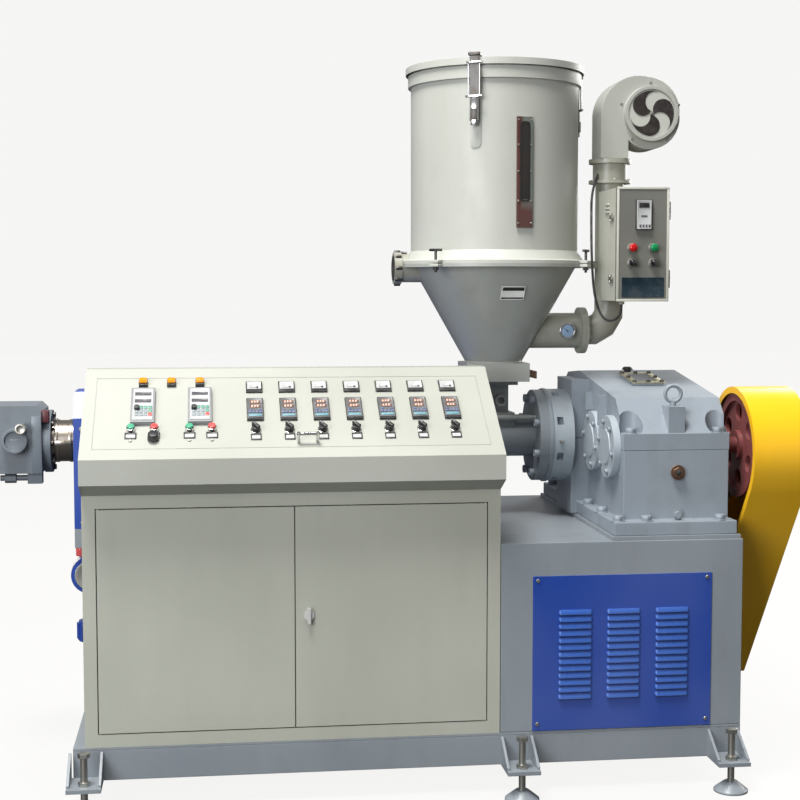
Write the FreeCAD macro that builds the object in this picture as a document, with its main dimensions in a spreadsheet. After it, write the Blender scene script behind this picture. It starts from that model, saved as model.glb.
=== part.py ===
import FreeCAD, Part
import math
import os
from types import SimpleNamespace

import Sketcher
from FreeCAD import Placement, Rotation, Vector

# Plastic extruder with its hopper dryer, in millimetres.
# Machine directions: x runs along the screw from the die to the drive, y from the operator's
# side to the back, z up from the floor. Pieces are dimensioned from the left end of the base,
# its front face and the floor; the model's own origin is under the middle of the whole machine.

DRIVING_SIZES = {
    # base frame
    "base_length": 1950,
    "base_depth": 1000,
    "floor_gap": 81,
    "rail_width": 80,
    "rail_height": 87,
    "deck_thickness": 8,
    "drive_base_length": 727,
    "drive_base_height": 557,
    "panel_width": 538,
    "panel_height": 457,
    "panel_thickness": 3,
    "panel_inset": 94,
    # levelling feet
    "foot_first": 36,
    "foot_middle_offset": 50,
    "foot_last_inset": 54,
    "foot_reach": 75,
    "bracket_width": 96,
    "bracket_depth": 110,
    "bracket_plate": 12,
    "gusset_height": 72,
    "gusset_thickness": 8,
    "screw_radius": 10,
    "screw_top": 186,
    "pad_radius": 50,
    "pad_height": 30,
    # control cabinet
    "cabinet_left": 33,
    "cabinet_depth": 330,
    "cabinet_height": 716,
    "sheet": 2,
    "door_border": 37,
    "door_gap": 3,
    "door_depth": 18,
    "door_skin": 1.5,
    "hinge_inset": 4,
    "hinge_pin_radius": 2,
    "lock_height": 363,
    "lock_inset": 38,
    # console
    "console_overhang": 80,
    "console_chin": 38,
    "console_band": 71,
    "console_run": 338,
    "console_rise": 231,
    "lid_left": 35,
    "lid_width": 1115,
    "lid_lower": 45,
    "lid_length": 318,
    "lid_gap": 1.5,
    # screw line
    "centre_height": 992,
    "screw_line": 570,
    "barrel_radius": 58,
    "barrel_left": 97,
    "feed_radius": 68,
    "feed_length": 233,
    "flange_inset": 517,
    "flange_thickness": 31,
    "flange_radius": 148,
    "band_radius": 65,
    "band_length": 70,
    "cover_left": 24,
    "cover_length": 1215,
    "cover_half_width": 140,
    "cover_wall_height": 340,
    "cover_bevel": 62,
    "beam_height": 60,
    # die
    "die_length": 152,
    "die_depth": 220,
    "die_height": 208,
    "die_rise": 14,
    "adapter_length": 25,
    "adapter_radius": 98,
    "melt_radius": 20,
    # gearbox
    "sole_thickness": 12,
    "gearbox_inset": 349,
    "gearbox_width": 322,
    "gearbox_front": 60,
    "gearbox_depth": 870,
    "foot_margin": 38,
    "foot_thickness": 40,
    "case_flange": 48,
    "case_front_top": 1140,
    "case_rear_top": 1200,
    "thrust_length": 58,
    "thrust_half_depth": 100,
    "coupling_radius": 150,
    "input_line": 182,
    "middle_line": 372,
    "input_cover_radius": 95,
    "middle_cover_radius": 93,
    "cover_thickness": 22,
    # belt drive
    "pulley_gap": 35,
    "pulley_width": 85,
    "pulley_radius": 160,
    "motor_pulley_radius": 80,
    "motor_line": 590,
    "motor_height": 310,
    "belt_thickness": 9,
    "shaft_radius": 25,
    "motor_shaft_radius": 19,
    "guard_gap": 28,
    "guard_width": 170,
    "guard_head_radius": 195,
    "guard_head_line": 187,
    "guard_head_height": 975,
    "guard_floor": 200,
    "guard_front_corner": 510,
    "guard_rear_corner": 760,
    "guard_lip": 20,
    # hopper
    "hopper_inset": 644,
    "hopper_radius": 268,
    "hopper_wall": 2,
    "hopper_flange_reach": 34,
    "hopper_seam": 1546,
    "hopper_height": 619,
    "neck_radius": 90,
    "neck_height": 1231,
    "gate_base": 200,
    "gate_bottom": 1172,
    "gate_thickness": 10,
    "gate_width": 136,
    "throat_width": 120,
    "throat_hole": 32,
    "lid_overhang": 17,
    # hot air side of the dryer
    "inlet_height": 1333,
    "inlet_radius": 57,
    "inlet_flange_radius": 75,
    "inlet_clearance": 41,
    "duct_radius": 46,
    "bend_radius": 73,
    "duct_top": 1808,
    "chamber_radius": 55,
    "chamber_height": 78,
    "blower_radius": 118,
    "blower_offset": 115,
    "blower_rise": 142,
    "blower_depth": 120,
    # dryer control box
    "box_offset": 51,
    "box_width": 164,
    "box_front": 300,
    "box_depth": 210,
    "box_bottom": 1431,
    "box_height": 347,
    "cable_diameter": 8,
}

RUNNING_CLEARANCE = 0.05
SEAT_GAP = 0.3
GLAND_LENGTH = 12
GLAND_INSET = 53
GLAND_DEPTH = 120

doc = FreeCAD.newDocument("plastic_extruder")
sheet = doc.addObject("Spreadsheet::Sheet", "Sizes")
for row, (alias, value) in enumerate(DRIVING_SIZES.items(), start=1):
    sheet.set(f"A{row}", alias)
    sheet.set(f"B{row}", str(value))
    sheet.setAlias(f"B{row}", alias)
doc.recompute()


class Length:
    """A size as a spreadsheet expression together with its present number."""

    def __init__(self, text, number):
        self.text = text
        self.number = float(number)

    def __add__(self, other):
        other = as_length(other)
        return Length(f"({self.text} + {other.text})", self.number + other.number)

    def __sub__(self, other):
        other = as_length(other)
        return Length(f"({self.text} - {other.text})", self.number - other.number)

    def __mul__(self, other):
        other = as_length(other)
        return Length(f"({self.text} * {other.text})", self.number * other.number)

    def __truediv__(self, other):
        other = as_length(other)
        return Length(f"({self.text} / {other.text})", self.number / other.number)

    def __neg__(self):
        return Length(f"(0 - {self.text})", -self.number)

    def __radd__(self, other):
        return as_length(other) + self

    def __rsub__(self, other):
        return as_length(other) - self

    __rmul__ = __mul__


def as_length(value):
    if isinstance(value, Length):
        return value
    return Length(f"({value})", value)


def root(value):
    return Length(f"sqrt({value.text})", math.sqrt(value.number))


size = SimpleNamespace(**{
    alias: Length(f"Sizes.{alias}", sheet.get(alias)) for alias in DRIVING_SIZES
})

# Places that several pieces share.
deck_top = size.floor_gap + size.rail_height + size.deck_thickness
drive_base_left = size.base_length - size.drive_base_length
drive_base_top = deck_top + size.drive_base_height
cabinet_width = drive_base_left - size.cabinet_left - size.sheet
cabinet_top = deck_top + size.cabinet_height
console_lip = cabinet_top + size.console_chin + size.console_band
slope_length = root(size.console_run * size.console_run + size.console_rise * size.console_rise)
slope_angle = math.degrees(math.atan2(size.console_rise.number, size.console_run.number))
slope_turn = Rotation(Vector(1, 0, 0), slope_angle)
die_right = -(size.barrel_left + size.adapter_length)
die_left = die_right - size.die_length
flange_left = size.base_length - size.flange_inset
gearbox_left = size.base_length - size.gearbox_inset
pulley_left = size.base_length + size.pulley_gap
guard_left = size.base_length + size.guard_gap
guard_right = guard_left + size.guard_width
hopper_line = size.base_length - size.hopper_inset
flange_rim = size.hopper_radius + size.hopper_flange_reach
lid_radius = size.hopper_radius + size.lid_overhang
inlet_reach = size.hopper_radius + size.inlet_clearance
case_bottom = drive_base_top + size.sole_thickness
gearbox_back = size.gearbox_front + size.gearbox_depth
gearbox_right = gearbox_left + size.gearbox_width
flange_right = flange_left + size.flange_thickness
hopper_top = size.hopper_seam + size.hopper_height
duct_line = hopper_line + inlet_reach + size.bend_radius
box_left = duct_line - size.box_offset
origin = ((die_left + guard_right) / 2, size.base_depth / 2, as_length(0))

TURNS = {
    "x": Rotation(Vector(0, 1, 0), 90),
    "-x": Rotation(Vector(0, 1, 0), -90),
    "y": Rotation(Vector(1, 0, 0), -90),
    "-y": Rotation(Vector(1, 0, 0), 90),
    "z": Rotation(),
    "-z": Rotation(Vector(1, 0, 0), 180),
}

nodes = []


def bind(thing, setting, value):
    thing.setExpression(setting, as_length(value).text)


def place(thing, point, turn=None, local=False):
    """Put a piece at a point of the machine, or of its own group when it is local."""
    if turn is not None:
        thing.Placement = Placement(Vector(), turn)
    for letter, value, shift in zip("xyz", point, origin):
        at = as_length(value) if local else as_length(value) - shift
        bind(thing, f"Placement.Base.{letter}", at)


def block(name, corner, extent, turn=None, local=False):
    box = doc.addObject("Part::Box", name)
    for setting, value in zip(("Length", "Width", "Height"), extent):
        bind(box, setting, value)
    place(box, corner, turn, local)
    return box


def rod(name, start, radius, length, along="z", local=False):
    cylinder = doc.addObject("Part::Cylinder", name)
    bind(cylinder, "Radius", radius)
    bind(cylinder, "Height", length)
    place(cylinder, start, TURNS[along], local)
    return cylinder


def hexagon(name, start, radius, length, along="z"):
    prism = doc.addObject("Part::Prism", name)
    prism.Polygon = 6
    bind(prism, "Circumradius", radius)
    bind(prism, "Height", length)
    place(prism, start, TURNS[along])
    return prism


def fuse(name, *pieces):
    joined = doc.addObject("Part::MultiFuse", name)
    joined.Shapes = list(pieces)
    return joined


def cut(name, base, *tools):
    result = doc.addObject("Part::Cut", name)
    result.Base = base
    result.Tool = tools[0] if len(tools) == 1 else fuse(name + "Tools", *tools)
    return result


def group(name, pieces):
    compound = doc.addObject("Part::Compound", name)
    compound.Links = list(pieces)
    return compound


def keep(node, thing):
    thing.Label = node
    nodes.append(thing)
    return thing


def origin_feature(body, role):
    for feature in body.Origin.OriginFeatures:
        if feature.Role == role:
            return feature
    raise RuntimeError(f"no origin feature {role}")


def closed_sketch(body, name, role, outline):
    """A closed outline of straight lines whose corners are bound to the sheet."""
    sketch = body.newObject("Sketcher::SketchObject", name)
    sketch.AttachmentSupport = [(origin_feature(body, role), "")]
    sketch.MapMode = "FlatFace"
    corners = [(as_length(u), as_length(v)) for u, v in outline]
    for (u_1, v_1), (u_2, v_2) in zip(corners, corners[1:] + corners[:1]):
        line = Part.LineSegment(Vector(u_1.number, v_1.number, 0), Vector(u_2.number, v_2.number, 0))
        sketch.addGeometry(line, False)
    for index in range(len(corners)):
        follower = (index + 1) % len(corners)
        sketch.addConstraint(Sketcher.Constraint("Coincident", index, 2, follower, 1))
    for index, (u, v) in enumerate(corners):
        for kind, value in (("DistanceX", u), ("DistanceY", v)):
            number = sketch.addConstraint(Sketcher.Constraint(kind, -1, 1, index, 1, value.number))
            sketch.setExpression(f"Constraints[{number}]", value.text)
    return sketch


def padded_body(name, role, outline, length, start):
    """An outline padded along +x from the YZ plane, +y from XZ, or +z from XY."""
    body = doc.addObject("PartDesign::Body", name)
    pad = body.newObject("PartDesign::Pad", name + "Pad")
    pad.Profile = closed_sketch(body, name + "Sketch", role, outline)
    bind(pad, "Length", length)
    pad.Reversed = role == "XZ_Plane"
    place(body, start)
    return body, pad


def turned_body(name, outline, start, along="z"):
    """An outline of (radius, distance along the axis) turned a full circle."""
    body = doc.addObject("PartDesign::Body", name)
    sketch = closed_sketch(body, name + "Sketch", "XZ_Plane", outline)
    turn = body.newObject("PartDesign::Revolution", name + "Turn")
    turn.Profile = sketch
    turn.ReferenceAxis = (sketch, ["V_Axis"])
    turn.Angle = 360
    place(body, start, TURNS[along])
    return body


def hollowed(body, feature, wall, direction):
    """Turn a padded body into sheet metal, open on the face that looks the given way."""
    doc.recompute()
    names = []
    for index, face in enumerate(feature.Shape.Faces, start=1):
        middle = face.Surface.parameter(face.CenterOfMass)
        if face.normalAt(*middle).getAngle(direction) < 0.01:
            names.append(f"Face{index}")
    shell = body.newObject("PartDesign::Thickness", body.Name + "Wall")
    shell.Base = (feature, names)
    bind(shell, "Value", wall)
    shell.Reversed = True
    shell.Join = 1
    body.Tip = shell
    doc.recompute()
    if not 0 < shell.Shape.Volume < feature.Shape.Volume:
        raise RuntimeError(f"{body.Name} was not hollowed")


def tangent_loop(centre_1, radius_1, centre_2, radius_2):
    """The outline round two circles in the YZ plane, as two arcs and two tangent lines."""
    gap = centre_2 - centre_1
    tilt = math.acos((radius_1 - radius_2) / gap.Length)
    heading = math.atan2(gap.z, gap.y)

    def rim(centre, radius, angle):
        return centre + Vector(0, radius * math.cos(angle), radius * math.sin(angle))

    low_1, low_2 = rim(centre_1, radius_1, heading - tilt), rim(centre_2, radius_2, heading - tilt)
    high_1, high_2 = rim(centre_1, radius_1, heading + tilt), rim(centre_2, radius_2, heading + tilt)
    far_1 = rim(centre_1, radius_1, heading + math.pi)
    far_2 = rim(centre_2, radius_2, heading)
    edges = [
        Part.Arc(high_1, far_1, low_1).toShape(),
        Part.LineSegment(low_1, low_2).toShape(),
        Part.Arc(low_2, far_2, high_2).toShape(),
        Part.LineSegment(high_2, high_1).toShape(),
    ]
    return Part.Face(Part.Wire(edges))


def solid_feature(name, shape, start=(0, 0, 0)):
    feature = doc.addObject("Part::Feature", name)
    feature.Shape = shape
    place(feature, start)
    return feature


# Base frame, feet and drive base

def base_frame():
    rails = []
    for side, y in (("Front", as_length(0)), ("Rear", size.base_depth - size.rail_width)):
        extent = (size.base_length, size.rail_width, size.rail_height)
        rails.append(block(f"Rail{side}", (0, y, size.floor_gap), extent))
    members = []
    span = size.base_depth - 2 * size.rail_width
    stations = (as_length(0), drive_base_left / 2, drive_base_left, size.base_length - size.rail_width)
    for index, x in enumerate(stations, start=1):
        corner = (x, size.rail_width, size.floor_gap)
        members.append(block(f"CrossMember{index}", corner, (size.rail_width, span, size.rail_height)))
    keep("base_frame", fuse("BaseFrame", *rails, *members))

    deck_corner = (0, 0, size.floor_gap + size.rail_height)
    keep("deck_plate", block("Deck", deck_corner, (size.base_length, size.base_depth, size.deck_thickness)))

    shaft_hole_depth = 60
    hole_radius = size.motor_shaft_radius + RUNNING_CLEARANCE
    housing = block(
        "DriveHousing", (drive_base_left, 0, deck_top),
        (size.drive_base_length, size.base_depth, size.drive_base_height),
    )
    hole = rod(
        "MotorShaftHole", (size.base_length, size.motor_line, size.motor_height),
        hole_radius, shaft_hole_depth, "-x",
    )
    keep("drive_base", cut("DriveBase", housing, hole))

    panel_left = drive_base_left + size.panel_inset
    panels = []
    for side, y in (("Front", -size.panel_thickness), ("Rear", size.base_depth)):
        extent = (size.panel_width, size.panel_thickness, size.panel_height)
        panels.append(block(f"LouvrePanel{side}", (panel_left, y, deck_top + size.sheet), extent))
    keep("louvre_panels", group("LouvrePanels", panels))


def levelling_feet():
    nut_radius = 17.5
    head_height = 13
    brackets = []
    screws = []
    pads = []
    half_width = size.bracket_width / 2
    stations = (
        size.foot_first, drive_base_left + size.foot_middle_offset, size.base_length - size.foot_last_inset,
    )
    for index, x in enumerate(stations, start=1):
        for side, outward in (("Front", -1), ("Rear", 1)):
            tag = f"{side}{index}"
            wall = as_length(0) if outward < 0 else size.base_depth
            screw_y = wall + outward * size.foot_reach
            plate_y = wall - size.bracket_depth if outward < 0 else wall
            plate = block(
                f"BracketPlate{tag}", (x - half_width, plate_y, size.floor_gap),
                (size.bracket_width, size.bracket_depth, size.bracket_plate),
            )
            hole = rod(
                f"BracketHole{tag}", (x, screw_y, size.floor_gap),
                size.screw_radius + SEAT_GAP, size.bracket_plate,
            )
            plate_top = size.floor_gap + size.bracket_plate
            gussets = []
            for end, gusset_x in (("A", x - half_width), ("B", x + half_width - size.gusset_thickness)):
                tip = outward * (size.bracket_depth - size.bracket_plate)
                outline = [
                    (0, plate_top), (tip, plate_top),
                    (tip, plate_top + size.gusset_thickness), (0, plate_top + size.gusset_height),
                ]
                gusset, _ = padded_body(
                    f"Gusset{tag}{end}", "YZ_Plane", outline, size.gusset_thickness, (gusset_x, wall, 0),
                )
                gussets.append(gusset)
            drilled = cut(f"BracketDrilled{tag}", plate, hole)
            brackets.append(fuse(f"Bracket{tag}", drilled, *gussets))

            screw_length = size.screw_top - size.pad_height
            shank = rod(f"Shank{tag}", (x, screw_y, size.pad_height), size.screw_radius, screw_length)
            head = hexagon(f"Head{tag}", (x, screw_y, size.screw_top - head_height), nut_radius, head_height)
            nut = hexagon(f"Nut{tag}", (x, screw_y, plate_top), nut_radius, size.bracket_plate)
            screws.append(fuse(f"Screw{tag}", shank, head, nut))

            cone_outline = [
                (0, 0), (size.pad_radius, 0), (size.pad_radius, size.pad_height / 5),
                (size.screw_radius * 2, size.pad_height), (0, size.pad_height),
            ]
            pads.append(turned_body(f"Pad{tag}", cone_outline, (x, screw_y, 0)))
    keep("foot_brackets", group("FootBrackets", brackets))
    keep("levelling_screws", group("LevellingScrews", screws))
    keep("levelling_pads", group("LevellingPads", pads))


# Control cabinet and console

def cabinet():
    pivot_depth = 12
    pivot_height = 10
    wall = size.sheet
    outer = block(
        "CabinetOuter", (size.cabinet_left, 0, deck_top),
        (cabinet_width, size.cabinet_depth, size.cabinet_height),
    )
    inner = block(
        "CabinetInner", (size.cabinet_left + wall, wall, deck_top + wall),
        (cabinet_width - 2 * wall, size.cabinet_depth - 2 * wall, size.cabinet_height - 2 * wall),
    )
    opening_left = size.cabinet_left + size.door_border
    opening_width = cabinet_width - 2 * size.door_border
    opening_bottom = deck_top + size.door_border
    opening_height = size.cabinet_height - 2 * size.door_border
    opening_top = opening_bottom + opening_height
    opening_right = opening_left + opening_width
    doorway = block(
        "Doorway", (opening_left, -wall, opening_bottom), (opening_width, 3 * wall, opening_height),
    )
    sheet_box = cut("CabinetSheet", outer, inner, doorway)

    door_width = (opening_width - 3 * size.door_gap) / 2
    door_height = opening_height - 2 * size.door_gap
    door_bottom = opening_bottom + size.door_gap
    door_front = as_length(-1)
    pin_y = as_length(size.hinge_inset)
    pin_length = size.door_gap + pivot_height - 2
    left_edge = opening_left + size.door_gap
    right_edge = opening_right - size.door_gap
    pin_lines = (("Left", left_edge + size.hinge_inset), ("Right", right_edge - size.hinge_inset))
    pivots = []
    holes = []
    for side, pin_x in pin_lines:
        for end, z in (("Top", opening_top), ("Foot", opening_bottom - pivot_height)):
            corner = (pin_x - pivot_depth / 2, 0, z)
            extent = (pivot_depth, pivot_depth, pivot_height)
            pivots.append(block(f"Pivot{side}{end}", corner, extent))
            holes.append(rod(
                f"PivotHole{side}{end}", (pin_x, pin_y, z),
                size.hinge_pin_radius + RUNNING_CLEARANCE, pivot_height,
            ))
    keep("cabinet_shell", cut("CabinetShell", fuse("CabinetWithPivots", sheet_box, *pivots), *holes))

    lock_x = right_edge - door_width + size.lock_inset
    lock_z = deck_top + size.lock_height
    stem_radius = 7
    for side, x, pin_x in (
        ("Left", left_edge, pin_lines[0][1]),
        ("Right", right_edge - door_width, pin_lines[1][1]),
    ):
        skin = size.door_skin
        slab = block(f"Door{side}Slab", (x, door_front, door_bottom), (door_width, size.door_depth, door_height))
        tray = block(
            f"Door{side}Tray", (x + skin, door_front + skin, door_bottom + skin),
            (door_width - 2 * skin, size.door_depth, door_height - 2 * skin),
        )
        tools = [tray]
        if side == "Right":
            tools.append(rod("LockHole", (lock_x, door_front - 1, lock_z), stem_radius + RUNNING_CLEARANCE, 4, "y"))
        pan = cut(f"Door{side}Pan", slab, *tools)
        top_pin = rod(
            f"Door{side}TopPin", (pin_x, pin_y, door_bottom + door_height - skin),
            size.hinge_pin_radius, pin_length + skin,
        )
        foot_pin = rod(
            f"Door{side}FootPin", (pin_x, pin_y, door_bottom + skin),
            size.hinge_pin_radius, pin_length + skin, "-z",
        )
        keep(f"cabinet_door_{side.lower()}", fuse(f"Door{side}", pan, top_pin, foot_pin))

    rose_radius = 15
    rose_depth = 6
    lever_half_width = 5
    lever_length = 46
    lever_depth = 9
    rose_back = door_front - SEAT_GAP
    stem = rod("LockStem", (lock_x, rose_back, lock_z), stem_radius, size.door_skin + 2 * SEAT_GAP, "y")
    inner_nut = rod(
        "LockNut", (lock_x, door_front + size.door_skin + SEAT_GAP, lock_z), stem_radius + 4, 4, "y",
    )
    rose = rod("LockRose", (lock_x, rose_back, lock_z), rose_radius, rose_depth, "-y")
    lever = block(
        "LockLever", (lock_x - lever_half_width, rose_back - rose_depth - lever_depth, lock_z - lever_length / 2),
        (2 * lever_half_width, lever_depth, lever_length),
    )
    keep("door_handle", fuse("DoorHandle", stem, inner_nut, rose, lever))


def on_slope(name, pieces):
    """Pieces drawn flat with x along the console and y up its slope, laid on the slope."""
    laid = group(name, pieces)
    place(laid, (size.cabinet_left, -size.console_overhang, console_lip), slope_turn)
    return laid


def console():
    back = size.cabinet_depth
    slope_top = console_lip + size.console_rise
    slope_back = size.console_run - size.console_overhang
    outline = [
        (0, cabinet_top), (-size.console_overhang, cabinet_top + size.console_chin),
        (-size.console_overhang, console_lip), (slope_back, slope_top),
        (back, slope_top), (back, cabinet_top),
    ]
    hood, pad = padded_body("ConsoleHood", "YZ_Plane", outline, cabinet_width, (size.cabinet_left, 0, 0))
    hollowed(hood, pad, size.sheet, Vector(0, 0, -1))

    ledge = 12
    plate_thickness = size.sheet - SEAT_GAP
    gap = size.lid_gap
    hole = block(
        "LidHole", (size.lid_left - gap, size.lid_lower - gap, -2 * size.sheet),
        (size.lid_width + 2 * gap, size.lid_length + 2 * gap, 4 * size.sheet), local=True,
    )
    rim = block(
        "LedgeOuter", (size.lid_left - ledge, size.lid_lower - ledge, -2 * size.sheet),
        (size.lid_width + 2 * ledge, size.lid_length + 2 * ledge, size.sheet), local=True,
    )
    rim_hole = block(
        "LedgeInner", (size.lid_left + ledge, size.lid_lower + ledge, -3 * size.sheet),
        (size.lid_width - 2 * ledge, size.lid_length - 2 * ledge, 4 * size.sheet), local=True,
    )
    opened = cut("ConsoleOpened", hood, on_slope("LidHoleLaid", [hole]))
    ledge_laid = on_slope("LedgeLaid", [cut("Ledge", rim, rim_hole)])
    keep("console_shell", fuse("ConsoleShell", opened, ledge_laid))

    plate = block(
        "LidPlate", (size.lid_left, size.lid_lower, -plate_thickness),
        (size.lid_width, size.lid_length, plate_thickness), local=True,
    )
    columns = [487 + 95 * index for index in range(7)]
    gauge_row = 314
    controller_row = 209
    switch_row = 120
    cut_outs = []
    gauges = []
    controllers = []
    fit = 0.4
    for index, x in enumerate(columns, start=1):
        for kind, row, height, body_height, depth, bezel, store in (
            ("Gauge", gauge_row, 48, 44, 40, 6, gauges),
            ("Controller", controller_row, 96, 90, 70, 8, controllers),
        ):
            body_width = 44
            face = block(
                f"{kind}Face{index}", (x - 24, row - height / 2, 0), (48, height, bezel), local=True,
            )
            case = block(
                f"{kind}Case{index}", (x - body_width / 2, row - body_height / 2, -depth),
                (body_width, body_height, depth), local=True,
            )
            store.append(fuse(f"{kind}{index}", face, case))
            cut_outs.append(block(
                f"{kind}CutOut{index}", (x - body_width / 2 - fit, row - body_height / 2 - fit, -3),
                (body_width + 2 * fit, body_height + 2 * fit, 6), local=True,
            ))
    keep("console_lid", on_slope("ConsoleLid", [cut("LidCut", plate, *cut_outs)]))
    keep("ammeters", on_slope("Ammeters", gauges))
    keep("temperature_controllers", on_slope("TemperatureControllers", controllers))

    handle_x = 631
    handle_y = 66
    handle_half = 32
    handle_rise = 30
    handle_bar = 5
    bar = rod(
        "LidHandleBar", (handle_x - handle_half, handle_y, handle_rise), handle_bar, 2 * handle_half, "x", True,
    )
    legs = [
        rod(f"LidHandleLeg{index}", (handle_x + shift, handle_y, 0), handle_bar, handle_rise + handle_bar, "z", True)
        for index, shift in enumerate((handle_bar - handle_half, handle_half - handle_bar), start=1)
    ]
    keep("lid_handle", on_slope("LidHandle", [fuse("LidHandleBow", bar, *legs)]))

    pads = [
        block(f"Keypad{index}", (x, 147, 0), (68, 156, 14), local=True)
        for index, x in enumerate((135, 296), start=1)
    ]
    keep("inverter_keypads", on_slope("InverterKeypads", pads))
    lamps = [
        block(f"Lamp{index}", (x - 13, 320, 0), (26, 28, 12), local=True)
        for index, x in enumerate((167, 248, 330), start=1)
    ]
    keep("signal_lamps", on_slope("SignalLamps", lamps))
    buttons = [
        rod(f"Button{index}", (x, 127, 0), 13, 11, "z", True)
        for index, x in enumerate((138, 203, 301, 364), start=1)
    ]
    buttons.append(rod("SpeedKnob", (201, 84, 0), 11, 14, "z", True))
    keep("push_buttons", on_slope("PushButtons", buttons))
    switches = [
        rod(f"Switch{index}", (x, switch_row, 0), 12, 16, "z", True)
        for index, x in enumerate(columns, start=1)
    ]
    keep("zone_switches", on_slope("ZoneSwitches", switches))


# Barrel, cover and die

def barrel_line():
    y = size.screw_line
    z = size.centre_height
    left = -size.barrel_left
    feed_left = flange_left - size.feed_length
    tube = rod("BarrelTube", (left, y, z), size.barrel_radius, feed_left - left, "x")
    feed = rod("FeedSection", (feed_left, y, z), size.feed_radius, size.feed_length, "x")
    disc = rod("BarrelFlange", (flange_left, y, z), size.flange_radius, size.flange_thickness, "x")
    pocket = rod("FeedPocket", (hopper_line, y, z), size.throat_hole, size.feed_radius + 5)
    keep("barrel", cut("Barrel", fuse("BarrelSolid", tube, feed, disc), pocket))

    band = rod("BandOuter", (left, y, z), size.band_radius, size.band_length, "x")
    band_bore = rod("BandBore", (left, y, z), size.barrel_radius + SEAT_GAP, size.band_length, "x")
    keep("heater_band", cut("HeaterBand", band, band_bore))

    half = size.cover_half_width
    bevel = size.cover_bevel
    bottom = drive_base_top
    shoulder = bottom + size.cover_wall_height
    top = shoulder + bevel * 1.25
    outline = [
        (y - half, bottom), (y - half, shoulder), (y - half + bevel, top),
        (y + half - bevel, top), (y + half, shoulder), (y + half, bottom),
    ]
    hood, pad = padded_body("BarrelHood", "YZ_Plane", outline, size.cover_length, (-size.cover_left, 0, 0))
    hollowed(hood, pad, size.sheet, Vector(0, 0, -1))
    clear_radius = size.feed_radius + 4
    way = rod("BarrelWay", (-size.cover_left - 10, y, z), clear_radius, size.cover_length + 20, "x")
    keep("barrel_cover", cut("BarrelCover", hood, way))

    beam_bottom = bottom - size.beam_height
    beam_length = drive_base_left + size.cover_left
    beam = block(
        "BarrelBeam", (-size.cover_left, y - half, beam_bottom), (beam_length, 2 * half, size.beam_height),
    )
    post_width = 80
    posts = [
        block(
            f"SupportPost{index}", (x, y - post_width, deck_top),
            (post_width, 2 * post_width, beam_bottom - deck_top),
        )
        for index, x in enumerate((drive_base_left / 4, drive_base_left * 3 / 4), start=1)
    ]
    keep("barrel_support", fuse("BarrelSupport", beam, *posts))

    volute_radius = 58
    volute_depth = 90
    neck = 30
    motor_radius = 40
    blowers = []
    for index, x in enumerate((as_length(12), drive_base_left / 2, drive_base_left - 110), start=1):
        centre_z = beam_bottom - 103
        volute = rod(f"CoolerVolute{index}", (x, y - volute_depth / 2, centre_z), volute_radius, volute_depth, "y")
        riser = block(
            f"CoolerRiser{index}", (x - neck, y - neck, centre_z), (2 * neck, 2 * neck, beam_bottom - centre_z),
        )
        shaft = rod(f"CoolerShaft{index}", (x, y, centre_z - 155), 16, 155)
        motor = rod(f"CoolerMotor{index}", (x, y, centre_z - 216), motor_radius, 64)
        blowers.append(fuse(f"Cooler{index}", volute, riser, shaft, motor))
    keep("cooling_blowers", group("CoolingBlowers", blowers))


def die():
    y = size.screw_line
    z = size.centre_height
    middle = z + size.die_rise
    front = y - size.die_depth / 2
    chamfer = 18
    side_view = [
        (0, 0), (size.die_length, 0), (size.die_length, size.die_height - chamfer),
        (size.die_length - chamfer, size.die_height), (0, size.die_height),
    ]
    body, _ = padded_body(
        "DieBody", "XZ_Plane", side_view, size.die_depth, (die_left, front, middle - size.die_height / 2),
    )
    outlet_depth = 60
    outlet = rod("MeltOutlet", (die_left, y, middle), size.melt_radius, outlet_depth, "x")
    bolt_circle = 75
    bolt_hole = 6.5
    bolt_holes = []
    for index in range(6):
        angle = math.radians(30 + 60 * index)
        bolt_holes.append(rod(
            f"DieBoltHole{index + 1}",
            (die_left, y + bolt_circle * round(math.cos(angle), 9), middle + bolt_circle * round(math.sin(angle), 9)),
            bolt_hole, 30, "x",
        ))
    keep("die_block", cut("DieBlock", body, outlet, *bolt_holes))
    keep("die_adapter", rod("DieAdapter", (die_right, y, z), size.adapter_radius, size.adapter_length, "x"))

    sensor_x = die_left + size.die_length * 0.49
    boss = rod("SensorBoss", (sensor_x, front, middle), 39, 34, "-y")
    boss_bore = rod("SensorBore", (sensor_x, front - 6, middle), 28, 34, "-y")
    plug = rod("SensorPlug", (sensor_x, front, middle), 12, 20, "-y")
    upper_plug = rod("UpperPlug", (die_right - 56, front, middle + 38), 12, 46, "-y")
    upper_nut = hexagon("UpperNut", (die_right - 56, front - 18, middle + 38), 18, 22, "-y")
    drop = 34
    tab = block(
        "LowerTab", (die_right - 46, front + 20, middle - size.die_height / 2 - drop), (44, 40, drop),
    )
    spout_z = middle - size.die_height / 2 - drop / 2
    spout = rod("LowerSpout", (die_right - 46, front + 40, spout_z), 9, 84, "-x")
    spout_nut = hexagon("LowerNut", (die_right - 82, front + 40, spout_z), 16, 34, "-x")
    keep("die_fittings", group("DieFittings", [
        fuse("SensorPort", cut("SensorCup", boss, boss_bore), plug, upper_plug, upper_nut),
        fuse("LowerFitting", tab, spout, spout_nut),
    ]))


# Gearbox and belt drive

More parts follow.
